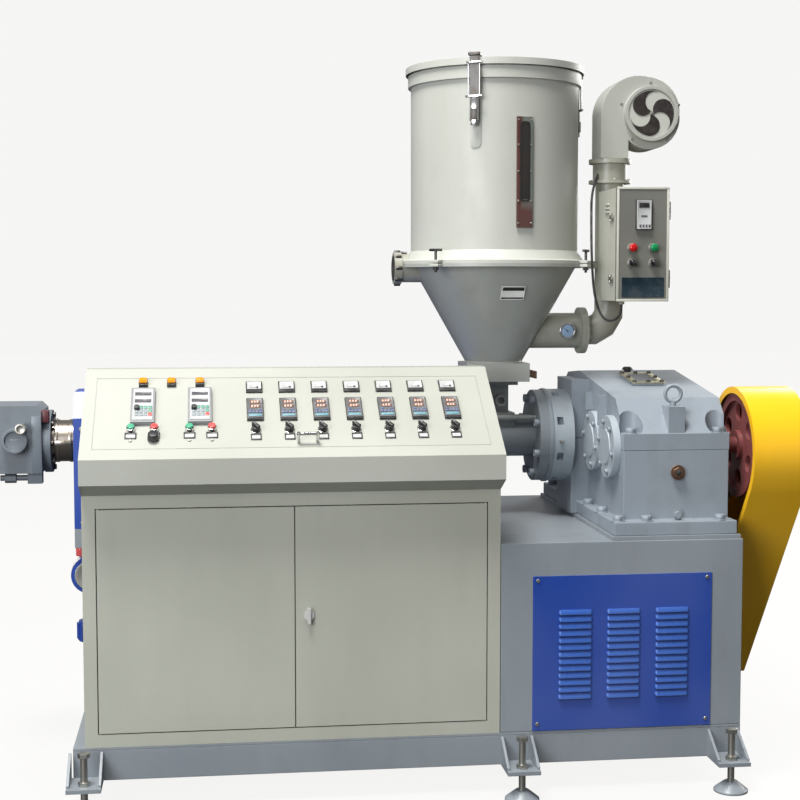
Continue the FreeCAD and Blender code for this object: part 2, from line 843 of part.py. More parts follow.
def gearbox():
    left = gearbox_left
    front = size.gearbox_front
    split = size.centre_height
    margin = size.foot_margin
    foot_front = front - 45
    foot_depth = size.gearbox_depth + 75
    sole_margin = 8
    keep("gearbox_sole_plate", block(
        "SolePlate", (left - margin - sole_margin, foot_front - 10, drive_base_top),
        (size.gearbox_width + margin + 13 + 2 * sole_margin, foot_depth + 20, size.sole_thickness),
    ))
    foot = block(
        "CaseFoot", (left - margin, foot_front, case_bottom),
        (size.gearbox_width + margin + 13, foot_depth, size.foot_thickness),
    )
    lower = block(
        "LowerBody", (left, front, case_bottom), (size.gearbox_width, size.gearbox_depth, split - case_bottom),
    )
    thrust_front = size.screw_line - size.thrust_half_depth
    thrust_depth = 2 * size.thrust_half_depth
    thrust_lower = block(
        "ThrustLower", (left - size.thrust_length, thrust_front, case_bottom),
        (size.thrust_length, thrust_depth, split - case_bottom),
    )
    keep("gearbox_lower_case", fuse("LowerCase", foot, lower, thrust_lower))

    rim = split + size.case_flange
    outline = [
        (front, split), (front, rim), (front + 100, size.case_front_top),
        (size.screw_line + 30, size.case_rear_top), (size.screw_line + 190, size.case_rear_top - 12),
        (gearbox_back - 60, size.case_front_top - 22), (gearbox_back, rim), (gearbox_back, split),
    ]
    hump, _ = padded_body("UpperHump", "YZ_Plane", outline, size.gearbox_width, (left, 0, 0))
    thrust_upper = block(
        "ThrustUpper", (left - size.thrust_length, thrust_front, split),
        (size.thrust_length, thrust_depth, size.case_rear_top - split - 22),
    )
    boss_width = 50
    boss_x = left + 136
    ring_radius = 24
    ring_bar = 6
    bosses = []
    rings = []
    for side, y, top, seat in (("Front", front + 2, 1120, 40), ("Rear", gearbox_back - 102, 1115, 62)):
        bosses.append(block(f"LiftBoss{side}", (boss_x, y, rim), (boss_width, 100, top - rim)))
        centre = (boss_x + boss_width / 2, y + seat, as_length(top + 12 + ring_radius))
        ring = doc.addObject("Part::Torus", f"LiftRing{side}")
        ring.Radius1 = ring_radius
        ring.Radius2 = ring_bar
        place(ring, centre, TURNS["y"])
        shank = rod(f"LiftShank{side}", (centre[0], centre[1], top), 9, 12)
        rings.append(fuse(f"EyeBolt{side}", ring, shank))
    rib_depth = 22
    rib_width = 16
    ribs = [
        block(
            f"SideRib{index}", (left - rib_depth, y, split + rib_foot),
            (rib_depth, rib_width, size.case_front_top - split - rib_foot),
        )
        for index, (y, rib_foot) in enumerate(((size.middle_line - 103, 56), (thrust_front - 40, 92)), start=1)
    ]
    pocket_radius = 36
    pocket_inset = 28
    pockets = []
    for end, x in (("Left", left + pocket_inset), ("Right", gearbox_right - pocket_inset)):
        for side, y in (("Front", front + pocket_inset), ("Rear", gearbox_back - pocket_inset)):
            pockets.append(rod(f"BoltPocket{end}{side}", (x, y, rim), pocket_radius, 2 * pocket_radius))
    keep("gearbox_upper_case", cut(
        "UpperCase", fuse("UpperSolid", hump, thrust_upper, *bosses, *ribs), *pockets,
    ))
    keep("eye_bolts", group("EyeBolts", rings))

    shaft_z = split
    covers = []
    for name, y, radius in (
        ("Input", size.input_line, size.input_cover_radius),
        ("Middle", size.middle_line, size.middle_cover_radius),
    ):
        disc = rod(f"Cover{name}", (left, y, shaft_z), radius, size.cover_thickness, "-x")
        cap = rod(f"CoverCap{name}", (left - size.cover_thickness, y, shaft_z), radius * 0.55, 4, "-x")
        covers.append(fuse(f"BearingCover{name}", disc, cap))
    seal = rod("ShaftSeal", (gearbox_right, size.input_line, shaft_z), 70, 18, "x")
    seal_bore = rod(
        "ShaftSealBore", (gearbox_right, size.input_line, shaft_z),
        size.shaft_radius + RUNNING_CLEARANCE, 18, "x",
    )
    covers.append(cut("BearingCoverDrive", seal, seal_bore))
    keep("bearing_covers", group("BearingCovers", covers))

    y = size.screw_line
    coupling_length = left - size.thrust_length - flange_right
    drum = rod("CouplingDrum", (flange_right, y, shaft_z), size.coupling_radius, coupling_length, "x")
    slot_count = 8
    slot_left = 24
    slot_length = 20
    slot_width = 26
    slot_depth = 22
    slots = []
    for index in range(slot_count):
        corner = (slot_left, -slot_width / 2, size.coupling_radius - slot_depth)
        slot = block(f"CouplingSlot{index + 1}", corner, (slot_length, slot_width, 2 * slot_depth), local=True)
        turned = group(f"CouplingSlotTurned{index + 1}", [slot])
        place(turned, (flange_right, y, shaft_z), Rotation(Vector(1, 0, 0), 360 / slot_count * (index + 0.5)))
        slots.append(turned)
    keep("coupling_housing", cut("CouplingHousing", drum, *slots))

    rise = size.case_rear_top - size.case_front_top
    run = size.screw_line + 30 - (front + 100)
    roof_angle = math.degrees(math.atan2(rise.number, run.number))
    hatch_start = 180
    hatch_z = size.case_front_top + rise * hatch_start / run
    hatch = block(
        "InspectionHatch", (left + 107, front + 100 + hatch_start, hatch_z),
        (100, 160, 8), Rotation(Vector(1, 0, 0), roof_angle),
    )
    keep("inspection_cover", hatch)

    glass_x = left + 162
    glass = rod("SightGlass", (glass_x, front, case_bottom + 181), 17, 12, "-y")
    drain = rod("DrainPlug", (glass_x, front, case_bottom + size.foot_thickness + 16), 9, 14, "-y")
    keep("oil_fittings", group("OilFittings", [glass, drain]))


def pulley(name, radius, shaft_radius, shaft_reach, y, z):
    width = size.pulley_width
    side = 8
    groove = radius - size.belt_thickness - 1
    rim_inner = radius - 26
    hub = shaft_radius + 20
    web_left = 10
    web_right = 24
    outline = [
        (0, -shaft_reach), (shaft_radius, -shaft_reach), (shaft_radius, -2), (hub, -2),
        (hub, web_left), (rim_inner, web_left), (rim_inner, 0), (radius, 0),
        (radius, side), (groove, side), (groove, width - side), (radius, width - side),
        (radius, width), (rim_inner, width), (rim_inner, web_right), (hub, web_right),
        (hub, width - 5), (0, width - 5),
    ]
    return turned_body(name, outline, (pulley_left, y, z), "x")


def guard_outline():
    """The side view of the guard: round over the upper pulley, straight down to a flat foot."""
    radius = size.guard_head_radius.number
    centre = Vector(0, size.guard_head_line.number, size.guard_head_height.number)
    floor = size.guard_floor.number
    corners = [Vector(0, y.number, floor) for y in (size.guard_front_corner, size.guard_rear_corner)]
    touches = []
    for corner, side in zip(corners, (-1, 1)):
        arm = corner - centre
        angle = math.atan2(arm.z, arm.y) + side * math.acos(radius / arm.Length)
        touches.append(centre + Vector(0, radius * math.cos(angle), radius * math.sin(angle)))
    crown = centre + Vector(0, 0, radius)
    return Part.Face(Part.Wire([
        Part.Arc(touches[1], crown, touches[0]).toShape(),
        Part.LineSegment(touches[0], corners[0]).toShape(),
        Part.LineSegment(corners[0], corners[1]).toShape(),
        Part.LineSegment(corners[1], touches[1]).toShape(),
    ]))


def belt_drive():
    seat_reach = pulley_left - gearbox_right - 2
    driven = pulley(
        "DrivenPulley", size.pulley_radius, size.shaft_radius, seat_reach, size.input_line, size.centre_height,
    )
    doc.recompute()
    whole = driven.Shape.Volume
    hole_circle = 100
    hole_radius = 26
    hole_sketch = driven.newObject("Sketcher::SketchObject", "LighteningHoleSketch")
    hole_sketch.AttachmentSupport = [(origin_feature(driven, "XY_Plane"), "")]
    hole_sketch.MapMode = "FlatFace"
    hole_sketch.addGeometry(Part.Circle(Vector(hole_circle, 0, 0), Vector(0, 0, 1), hole_radius), False)
    hole_sketch.addConstraint(Sketcher.Constraint("PointOnObject", 0, 3, -1))
    hole_sketch.addConstraint(Sketcher.Constraint("DistanceX", -1, 1, 0, 3, hole_circle))
    hole_sketch.addConstraint(Sketcher.Constraint("Radius", 0, hole_radius))
    hole = driven.newObject("PartDesign::Pocket", "LighteningHole")
    hole.Profile = hole_sketch
    hole.Length = size.pulley_width.number
    hole.Reversed = True
    doc.recompute()
    ring = driven.newObject("PartDesign::PolarPattern", "LighteningHoles")
    ring.Originals = [hole]
    ring.Axis = (origin_feature(driven, "Z_Axis"), [""])
    ring.Angle = 360
    ring.Occurrences = 6
    driven.Tip = ring
    doc.recompute()
    if not driven.Shape.Volume < whole:
        raise RuntimeError("the pulley's holes cut nothing")
    keep("driven_pulley", driven)

    motor_reach = pulley_left - size.base_length + 50
    keep("motor_pulley", pulley(
        "MotorPulley", size.motor_pulley_radius, size.motor_shaft_radius, motor_reach,
        size.motor_line, size.motor_height,
    ))

    upper = Vector(0, size.input_line.number, size.centre_height.number)
    lower = Vector(0, size.motor_line.number, size.motor_height.number)
    belt_side = 8.5
    belt_width = size.pulley_width.number - 2 * belt_side
    seat = size.belt_thickness.number + 0.6
    outside = tangent_loop(upper, size.pulley_radius.number - 0.6, lower, size.motor_pulley_radius.number - 0.6)
    inside = tangent_loop(upper, size.pulley_radius.number - seat, lower, size.motor_pulley_radius.number - seat)
    loop = outside.cut(inside).extrude(Vector(belt_width, 0, 0))
    keep("drive_belts", solid_feature("DriveBelts", loop, (pulley_left + belt_side, 0, 0)))

    wall = size.sheet.number
    width = size.guard_width.number
    skin = guard_outline()
    room = skin.makeOffset2D(-wall)
    mouth = skin.makeOffset2D(-size.guard_lip.number)
    casing = skin.extrude(Vector(width, 0, 0)).cut(
        room.extrude(Vector(width - 2 * wall, 0, 0)).translated(Vector(wall, 0, 0))
    )
    casing = casing.cut(mouth.extrude(Vector(wall, 0, 0)))
    guard = solid_feature("GuardCasing", casing, (guard_left, 0, 0))
    bracket_width = 40
    bracket_height = 46
    bracket_z = (size.guard_floor.number + size.guard_head_height.number) / 2
    across = skin.common(Part.makeBox(
        1, size.base_depth.number, bracket_height, Vector(-0.5, 0, bracket_z), Vector(0, 0, 1),
    )).BoundBox
    brackets = [
        block(
            f"GuardBracket{name}", (size.base_length, y, bracket_z),
            (guard_left - size.base_length, bracket_width, bracket_height),
        )
        for name, y in (("Front", across.YMin + bracket_height), ("Rear", across.YMax - 2 * bracket_width))
    ]
    keep("belt_guard", fuse("BeltGuard", guard, *brackets))


# Hopper

def feed_throat():
    x = hopper_line
    y = size.screw_line
    half = size.throat_width / 2
    saddle_bottom = size.centre_height + size.feed_radius / 2
    saddle_height = 44
    neck_half = 42
    neck_bottom = saddle_bottom + saddle_height
    flange_height = 12
    flange_half = half + 8
    saddle = block("ThroatSaddle", (x - half, y - half, saddle_bottom), (2 * half, 2 * half, saddle_height))
    neck = block(
        "ThroatNeck", (x - neck_half, y - neck_half, neck_bottom),
        (2 * neck_half, 2 * neck_half, size.gate_bottom - neck_bottom),
    )
    flange = block(
        "ThroatFlange", (x - flange_half, y - flange_half, size.gate_bottom - flange_height),
        (2 * flange_half, 2 * flange_half, flange_height),
    )
    port = rod("ThroatPort", (x + 14, y - neck_half, size.gate_bottom - 62), 19, 24, "-y")
    port_hole = rod("ThroatPortHole", (x + 14, y - neck_half - 8, size.gate_bottom - 62), 11, 24, "-y")
    rail = rod("ThroatRail", (x - half, y - half - 8, size.centre_height + 62), 9, flange_left - x + half, "x")
    chute = rod("ThroatChute", (x, y, saddle_bottom - 5), size.throat_hole, size.gate_bottom)
    seat = rod(
        "ThroatSeat", (x - 2 * half, y, size.centre_height), size.feed_radius + SEAT_GAP, 4 * half, "x",
    )
    keep("feed_throat", cut(
        "FeedThroat", fuse("ThroatSolid", saddle, neck, flange, port, rail), port_hole, chute, seat,
    ))


def slide_gate():
    x = hopper_line
    y = size.screw_line
    half = size.gate_base / 2
    gate_z = size.gate_bottom + 12
    base_height = size.neck_height - size.gate_bottom
    housing = block("GateHousing", (x - half, y - half, size.gate_bottom), (2 * half, 2 * half, base_height))
    slot = block(
        "GateSlot", (x - half + 12, y - size.gate_width / 2 - SEAT_GAP, gate_z - SEAT_GAP),
        (size.gate_base, size.gate_width + 2 * SEAT_GAP, size.gate_thickness + 2 * SEAT_GAP),
    )
    shaft = rod("GateShaft", (x, y, size.gate_bottom - 5), size.throat_hole + 18, base_height + 10)
    keep("hopper_base", cut("HopperBase", housing, slot, shaft))
    tongue = block(
        "GateTongue", (x - half + 14, y - size.gate_width / 2, gate_z),
        (size.gate_base + 10, size.gate_width, size.gate_thickness),
    )
    pull = block(
        "GatePull", (x + half + 24, y - size.gate_width / 2, gate_z - 4),
        (6, size.gate_width, size.gate_thickness + 14),
    )
    keep("slide_gate", fuse("SlideGate", tongue, pull))


def hopper_shells():
    x = hopper_line
    y = size.screw_line
    wall = size.hopper_wall
    radius = size.hopper_radius
    rim = flange_rim
    seam = size.hopper_seam
    flange = 10
    shoulder = radius - 6
    cone_outline = [
        (size.neck_radius - wall * 2, size.neck_height), (size.neck_radius, size.neck_height),
        (shoulder, seam - flange), (rim, seam - flange), (rim, seam), (shoulder - wall, seam),
    ]
    cone = turned_body("ConeShell", cone_outline, (x, y, 0))
    air_hole = rod("ConeAirHole", (x, y, size.inlet_height), size.inlet_radius - 6, rim, "x")
    keep("hopper_cone", cut("HopperCone", cone, air_hole))

    collar = 42
    ring_height = 38
    lid_skirt = 20
    band_radius = radius + 9
    barrel_outline = [
        (radius - wall, seam), (rim, seam), (rim, seam + flange), (radius + 18, seam + flange + 4),
        (radius, seam + collar), (radius, hopper_top - lid_skirt - ring_height - 2),
        (band_radius, hopper_top - lid_skirt - ring_height), (band_radius, hopper_top - lid_skirt - 2),
        (radius, hopper_top - lid_skirt), (radius, hopper_top), (radius - wall, hopper_top),
    ]
    drum = turned_body("DrumShell", barrel_outline, (x, y, 0))
    keep("hopper_barrel", drum)

    under = hopper_top + SEAT_GAP
    lid_outline = [
        (0, hopper_top + 17), (radius - 6, hopper_top + 4), (lid_radius, hopper_top + 2),
        (lid_radius, hopper_top - lid_skirt + 1), (lid_radius - wall, hopper_top - lid_skirt + 1),
        (lid_radius - wall, under), (radius - 6, under), (0, hopper_top + 13),
    ]
    keep("hopper_lid", turned_body("HopperLid", lid_outline, (x, y, 0)))

    def around(name, angle, pieces):
        """Pieces drawn with x pointing out from the hopper's axis, turned to their place."""
        set_in_place = group(name, pieces)
        place(set_in_place, (x, y, 0), Rotation(Vector(0, 0, 1), angle))
        return set_in_place

    latches = []
    strap_half = 14
    strap_inner = lid_radius + SEAT_GAP
    for index, angle in enumerate((-113, 10, 130), start=1):
        strap = block(
            f"LatchStrap{index}", (strap_inner, -strap_half, hopper_top - 190),
            (5, 2 * strap_half, 200), local=True,
        )
        hook = block(
            f"LatchHook{index}", (strap_inner - 22, -strap_half, hopper_top + 5),
            (27, 2 * strap_half, 5), local=True,
        )
        bracket = block(
            f"LatchBracket{index}", (radius + SEAT_GAP, -strap_half + 4, hopper_top - 185),
            (strap_inner - radius - SEAT_GAP, 2 * strap_half - 8, 80), local=True,
        )
        latches.append(around(f"Latch{index}", angle, [fuse(f"LatchBody{index}", strap, hook, bracket)]))
    keep("lid_latches", group("LidLatches", latches))

    window_bottom = 1655
    window_height = 335
    half_width = 25
    frame = block(
        "WindowFrame", (radius + SEAT_GAP, -half_width, window_bottom), (8, 2 * half_width, window_height), local=True,
    )
    slot = block(
        "WindowSlot", (radius + 4, -half_width + 13, window_bottom + 85),
        (8, 2 * half_width - 26, window_height - 105), local=True,
    )
    keep("sight_window", around("SightWindow", -81, [cut("WindowCut", frame, slot)]))

    port_radius = 45
    cap_radius = 51
    stub = rod("ExhaustStub", (x - radius + 30, y, seam - 12), port_radius, 74, "-x")
    shell_core = turned_body("ExhaustCore", [
        (0, size.neck_height), (size.neck_radius + SEAT_GAP, size.neck_height),
        (shoulder + SEAT_GAP, seam - flange), (rim + SEAT_GAP, seam - flange),
        (rim + SEAT_GAP, seam + flange), (radius + 18 + SEAT_GAP, seam + flange + 4),
        (radius + SEAT_GAP, seam + collar), (radius + SEAT_GAP, seam + 3 * collar), (0, seam + 3 * collar),
    ], (x, y, 0))
    cap = rod("ExhaustCap", (x - rim - 1, y, seam - 12), cap_radius, 24, "-x")
    keep("exhaust_port", fuse("ExhaustPort", cut("ExhaustNeck", stub, shell_core), cap))

    pipe = rod("InletPipe", (x, y, size.inlet_height), size.inlet_radius, inlet_reach - 18, "x")
    flange_disc = rod(
        "InletFlange", (x + inlet_reach - 30, y, size.inlet_height), size.inlet_flange_radius, 12, "x",
    )
    keep("hot_air_inlet", cut("HotAirInlet", fuse("InletSolid", pipe, flange_disc), shell_core))
    dial_radius = 24
    dial = rod(
        "ThermometerDial", (x + inlet_reach - 81, y - size.inlet_radius - SEAT_GAP, size.inlet_height), dial_radius, 16, "-y",
    )
    keep("thermometer", dial)


def mitred_bend(name, start):
    """A quarter bend from +x to +z, welded up from straight pieces of duct."""
    mitres = 3
    turn = math.pi / 2 / mitres
    radius = size.bend_radius.number
    corner_radius = radius / math.cos(turn / 2)
    points = [Vector(0, 0, 0)]
    for index in range(mitres):
        angle = turn * (index + 0.5)
        points.append(Vector(corner_radius * math.sin(angle), 0, radius - corner_radius * math.cos(angle)))
    points.append(Vector(radius, 0, radius))
    ring = Part.Wire(Part.makeCircle(size.duct_radius.number, points[0], Vector(1, 0, 0)))
    duct = Part.makePolygon(points).makePipeShell([ring], True, False, 1)
    return solid_feature(name, duct, start)


def hot_air_side():
    y = size.screw_line
    inlet_end = hopper_line + inlet_reach - 18
    flange_disc = rod("DuctFlange", (inlet_end, y, size.inlet_height), size.inlet_flange_radius, 10, "x")
    stub = rod("DuctStub", (inlet_end, y, size.inlet_height), size.duct_radius, 18, "x")
    bend = mitred_bend("DuctBend", (inlet_end + 18, y, size.inlet_height))
    riser_bottom = size.inlet_height + size.bend_radius
    riser = rod("DuctRiser", (duct_line, y, riser_bottom), size.duct_radius, size.duct_top - riser_bottom)
    chamber = rod("HeaterChamber", (duct_line, y, size.duct_top), size.chamber_radius, size.chamber_height)
    low_rim = rod("ChamberLowRim", (duct_line, y, size.duct_top), size.chamber_radius + 13, 10)
    high_rim = rod(
        "ChamberHighRim", (duct_line, y, size.duct_top + size.chamber_height - 14), size.chamber_radius + 13, 14,
    )
    brace_left = hopper_line + flange_rim + SEAT_GAP
    brace = block(
        "DuctBrace", (brace_left, y - 16, size.hopper_seam - 12),
        (duct_line - brace_left - size.duct_radius + 8, 32, 24),
    )
    keep("hot_air_duct", fuse("HotAirDuct", flange_disc, stub, bend, riser, chamber, low_rim, high_rim, brace))

    blower_bottom = size.duct_top + size.chamber_height
    blower_z = blower_bottom.number + size.blower_rise.number
    blower_x = size.blower_offset.number
    radius = size.blower_radius.number
    duct_half = 45
    depth = size.blower_depth.number
    scroll_growth = 40
    scroll_left = blower_x - radius - scroll_growth
    top = Vector(blower_x - 6, 0, blower_z + radius)
    right = Vector(blower_x + radius - 20, 0, blower_z)
    bottom = Vector(blower_x, 0, blower_z - radius + 6)
    left = Vector(-duct_half, 0, blower_z - 10)

    def between(start, end, bulge):
        middle = (start + end) * 0.5
        away = middle - Vector(blower_x, 0, blower_z)
        return middle + away * (bulge / away.Length)

    tongue = Vector(duct_half, 0, blower_z - radius + 34)
    edges = [
        Part.LineSegment(Vector(-duct_half, 0, blower_bottom.number), left).toShape(),
        Part.Arc(left, between(left, top, 52), top).toShape(),
        Part.Arc(top, between(top, right, 33), right).toShape(),
        Part.Arc(right, between(right, bottom, 33), bottom).toShape(),
        Part.Arc(bottom, between(bottom, tongue, 8), tongue).toShape(),
        Part.LineSegment(tongue, Vector(duct_half, 0, blower_bottom.number)).toShape(),
        Part.LineSegment(
            Vector(duct_half, 0, blower_bottom.number), Vector(-duct_half, 0, blower_bottom.number),
        ).toShape(),
    ]
    scroll = Part.Face(Part.Wire(edges)).extrude(Vector(0, depth, 0))
    scroll_front = y - size.blower_depth / 2
    body = solid_feature("BlowerScroll", scroll, (duct_line, scroll_front, 0))
    eye_x = duct_line + size.blower_offset
    eye_z = blower_bottom + size.blower_rise
    ring_radius = 88
    ring_depth = 22
    eye_radius = 76
    ring = rod("BlowerRing", (eye_x, scroll_front, eye_z), ring_radius, ring_depth, "-y")
    eye = rod("BlowerEye", (eye_x, scroll_front - ring_depth, eye_z), eye_radius, 60 + ring_depth, "y")
    keep("blower_housing", cut("BlowerHousing", fuse("BlowerSolid", body, ring), eye))
    grille = rod(
        "BlowerGrille", (eye_x, scroll_front - ring_depth + 8, eye_z), eye_radius - SEAT_GAP, 4, "-y",
    )
    keep("blower_grille", grille)
    motor_radius = 72
    motor_length = 130
    motor = rod("BlowerMotor", (eye_x, y + size.blower_depth / 2, eye_z), motor_radius, motor_length, "y")
    keep("blower_motor", motor)


def dryer_cable():
    """The control box's cable, straight between its points and rounded at each of them."""
    box_x = box_left.number + GLAND_INSET
    box_y = size.box_front.number + GLAND_DEPTH
    gland_end = size.box_bottom.number - GLAND_LENGTH
    heater_x = duct_line.number
    heater_z = size.duct_top.number
    line_y = size.screw_line.number
    points = [Vector(*point) for point in (
        (box_x, box_y, gland_end), (box_x, box_y, gland_end - 44), (box_x - 54, box_y + 10, gland_end - 57),
        (box_x - 84, box_y + 20, gland_end + 21), (heater_x - 88, line_y - 118, heater_z - 248),
        (heater_x - 88, line_y - 108, heater_z - 130), (heater_x - 80, line_y - 78, heater_z - 20),
        (heater_x - 45, line_y - 25, heater_z + 30),
    )]
    edges = []
    reached = points[0]
    for before, corner, after in zip(points, points[1:], points[2:]):
        into, out = (corner - before).normalize(), (after - corner).normalize()
        half_turn = into.getAngle(out) / 2
        reach = 0.45 * min((corner - before).Length, (after - corner).Length)
        radius = reach / math.tan(half_turn)
        print(f"cable bend radius {radius:.0f} mm")
        arc_start, arc_end = corner - into * reach, corner + out * reach
        sideways = (out - into).normalize()
        middle = corner + sideways * (radius / math.cos(half_turn) - radius)
        edges.append(Part.LineSegment(reached, arc_start).toShape())
        edges.append(Part.Arc(arc_start, middle, arc_end).toShape())
        reached = arc_end
    edges.append(Part.LineSegment(reached, points[-1]).toShape())
    path = Part.Wire(edges)
    section = Part.makeCircle(size.cable_diameter.number / 2, points[0], Vector(0, 0, 1))
    cable = path.makePipeShell([Part.Wire(section)], True, False)
    expected = math.pi * size.cable_diameter.number ** 2 / 4 * path.Length
    print(f"cable {path.Length:.0f} mm long, volume {cable.Volume / expected:.4f} of section times length")
    if not 0.99 < cable.Volume / expected < 1.01:
        raise RuntimeError("the cable is not one plain tube")
    chamber = rod(
        "CableChamberSide", (duct_line, size.screw_line, size.duct_top), size.chamber_radius, size.chamber_height,
    )
    keep("dryer_cable", cut("DryerCable", solid_feature("CableTube", cable), chamber))


def control_box():
    x = box_left
    front = size.box_front
    bottom = size.box_bottom
    wall = size.sheet
    outer = block("BoxOuter", (x, front, bottom), (size.box_width, size.box_depth, size.box_height))
    inner = block(
        "BoxInner", (x + wall, front - wall, bottom + wall),
        (size.box_width - 2 * wall, size.box_depth, size.box_height - 2 * wall),
    )
    knuckle_radius = 4
    pin_radius = 2
    knuckle = 18
    hinge_x = x + size.box_width + knuckle_radius + 0.5
    hinge_y = front - SEAT_GAP
    bracket_gap = size.screw_line - size.duct_radius - front - size.box_depth - SEAT_GAP
    mounts = [
        block(
            f"BoxMount{index}", (duct_line - 20, front + size.box_depth, bottom + z), (40, bracket_gap, 40),
        )
        for index, z in enumerate((50, 250), start=1)
    ]
    box_knuckles = []
    bores = []
    door_knuckles = []
    for index, z in enumerate((40, 250), start=1):
        for end, lift in (("Low", 0), ("High", 2 * knuckle + 2 * SEAT_GAP)):
            base = (hinge_x, hinge_y, bottom + z + lift)
            box_knuckles.append(rod(f"BoxKnuckle{index}{end}", base, knuckle_radius, knuckle))
            bores.append(rod(f"BoxKnuckleBore{index}{end}", base, pin_radius + RUNNING_CLEARANCE, knuckle))
            box_knuckles.append(block(
                f"BoxLeaf{index}{end}", (x + size.box_width, front, bottom + z + lift),
                (knuckle_radius + 0.5, 10, knuckle),
            ))
        door_knuckles.append(rod(
            f"DoorKnuckle{index}", (hinge_x, hinge_y, bottom + z + knuckle + SEAT_GAP), knuckle_radius, knuckle,
        ))
        door_knuckles.append(rod(
            f"DoorPin{index}", (hinge_x, hinge_y, bottom + z), pin_radius, 3 * knuckle + 2 * SEAT_GAP,
        ))
        door_knuckles.append(block(
            f"DoorLeaf{index}", (x + size.box_width - 6, hinge_y - 3, bottom + z + knuckle + SEAT_GAP),
            (6.5 + knuckle_radius, 2, knuckle),
        ))
    shell = cut("BoxShell", outer, inner)
    gland = rod("CableGland", (x + GLAND_INSET, front + GLAND_DEPTH, bottom - GLAND_LENGTH), 9, GLAND_LENGTH)
    keep("control_box", cut("ControlBox", fuse("BoxSolid", shell, gland, *mounts, *box_knuckles), *bores))

    door_depth = 14
    skin = size.door_skin
    slab = block(
        "BoxDoorSlab", (x - wall, front - SEAT_GAP - door_depth, bottom - wall),
        (size.box_width + wall, door_depth, size.box_height + 2 * wall),
    )
    tray = block(
        "BoxDoorTray", (x - wall + skin, front - SEAT_GAP - door_depth + skin, bottom - wall + skin),
        (size.box_width + wall - 2 * skin, door_depth, size.box_height + 2 * wall - 2 * skin),
    )
    keep("control_box_door", fuse("ControlBoxDoor", cut("BoxDoorPan", slab, tray), *door_knuckles))

    face = front - SEAT_GAP - door_depth
    timer = block("Timer", (x + 56, face - 10, bottom + 218), (50, 10, 92))
    knobs = []
    for index, (dx, dz) in enumerate(((46, 163), (113, 163), (46, 117), (113, 117)), start=1):
        knobs.append(rod(f"BoxControl{index}", (x + dx, face, bottom + dz), 10, 14, "-y"))
    keep("dryer_controls", group("DryerControls", [timer, *knobs]))


base_frame()
levelling_feet()
cabinet()
console()
barrel_line()
die()
gearbox()
belt_drive()
feed_throat()
slide_gate()
hopper_shells()
hot_air_side()
control_box()
dryer_cable()
doc.recompute()

for thing in doc.Objects:
    if "Invalid" in thing.State or "Error" in thing.State:
        raise RuntimeError(f"{thing.Label} did not compute: {thing.State}")
for thing in nodes:
    if thing.Shape.isNull() or not thing.Shape.isValid():
        raise RuntimeError(f"{thing.Label} has no valid shape")

os.makedirs("parts", exist_ok=True)
for thing in nodes:
    thing.Shape.exportStep(f"parts/{thing.Label}.step")
    print(f"{thing.Label}: {len(thing.Shape.Solids)} solid(s), {thing.Shape.Volume / 1e6:.3f} litres")
print(f"{len(nodes)} nodes")
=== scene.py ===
import math

import bpy
from mathutils import Matrix, Vector


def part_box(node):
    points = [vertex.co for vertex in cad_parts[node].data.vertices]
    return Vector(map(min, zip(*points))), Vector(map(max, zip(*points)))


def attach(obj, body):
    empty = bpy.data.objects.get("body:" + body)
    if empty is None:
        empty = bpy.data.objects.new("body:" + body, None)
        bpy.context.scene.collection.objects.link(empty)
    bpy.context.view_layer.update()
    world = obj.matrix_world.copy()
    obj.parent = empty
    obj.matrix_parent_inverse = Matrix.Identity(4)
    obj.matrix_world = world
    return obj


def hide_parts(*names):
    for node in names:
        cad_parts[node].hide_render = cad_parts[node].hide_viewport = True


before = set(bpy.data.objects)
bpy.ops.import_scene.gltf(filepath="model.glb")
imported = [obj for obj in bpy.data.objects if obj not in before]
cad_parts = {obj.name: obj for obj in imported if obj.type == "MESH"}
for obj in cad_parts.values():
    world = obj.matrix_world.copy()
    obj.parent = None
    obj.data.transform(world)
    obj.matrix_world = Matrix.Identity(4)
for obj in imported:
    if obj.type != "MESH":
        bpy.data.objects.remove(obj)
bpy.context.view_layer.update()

baseLow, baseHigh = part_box("base_frame")
print("frame loaded")


# places are given in metres from the base's left end, its front face and the floor
def at(x, y, z):
    return Vector((baseLow.x + x, baseLow.y + y, z))


# ---- modelling helpers

def clearSelection():
    if bpy.context.mode != "OBJECT":
        bpy.ops.object.mode_set(mode="OBJECT")
    bpy.ops.object.select_all(action="DESELECT")


def makeActive(piece):
    clearSelection()
    piece.select_set(True)
    bpy.context.view_layer.objects.active = piece


def applyPlace(piece):
    makeActive(piece)
    bpy.ops.object.transform_apply(location=True, rotation=True, scale=True)
    return piece


def startBox(name, low, high):
    clearSelection()
    low, high = Vector(low), Vector(high)
    bpy.ops.mesh.primitive_cube_add(size=1, location=(low + high) / 2)
    piece = bpy.context.object
    piece.name = piece.data.name = name
    bpy.ops.transform.resize(value=high - low)
    return applyPlace(piece)


turnTo = {"X": (0, math.pi / 2, 0), "Y": (math.pi / 2, 0, 0), "Z": (0, 0, 0)}


def startRound(name, centre, radius, depth, axis="Z", sides=40, topRadius=None):
    clearSelection()
    common = {"vertices": sides, "depth": depth, "location": centre, "rotation": turnTo[axis]}
    if topRadius is None:
        bpy.ops.mesh.primitive_cylinder_add(radius=radius, **common)
    else:
        bpy.ops.mesh.primitive_cone_add(radius1=radius, radius2=topRadius, **common)
    piece = bpy.context.object
    piece.name = piece.data.name = name
    return applyPlace(piece)


def pickFaces(piece, test):
    makeActive(piece)
    bpy.ops.object.mode_set(mode="EDIT")
    bpy.ops.mesh.select_mode(type="FACE")
    bpy.ops.mesh.select_all(action="DESELECT")
    bpy.ops.object.mode_set(mode="OBJECT")
    for face in piece.data.polygons:
        face.select = test(face)
    bpy.ops.object.mode_set(mode="EDIT")


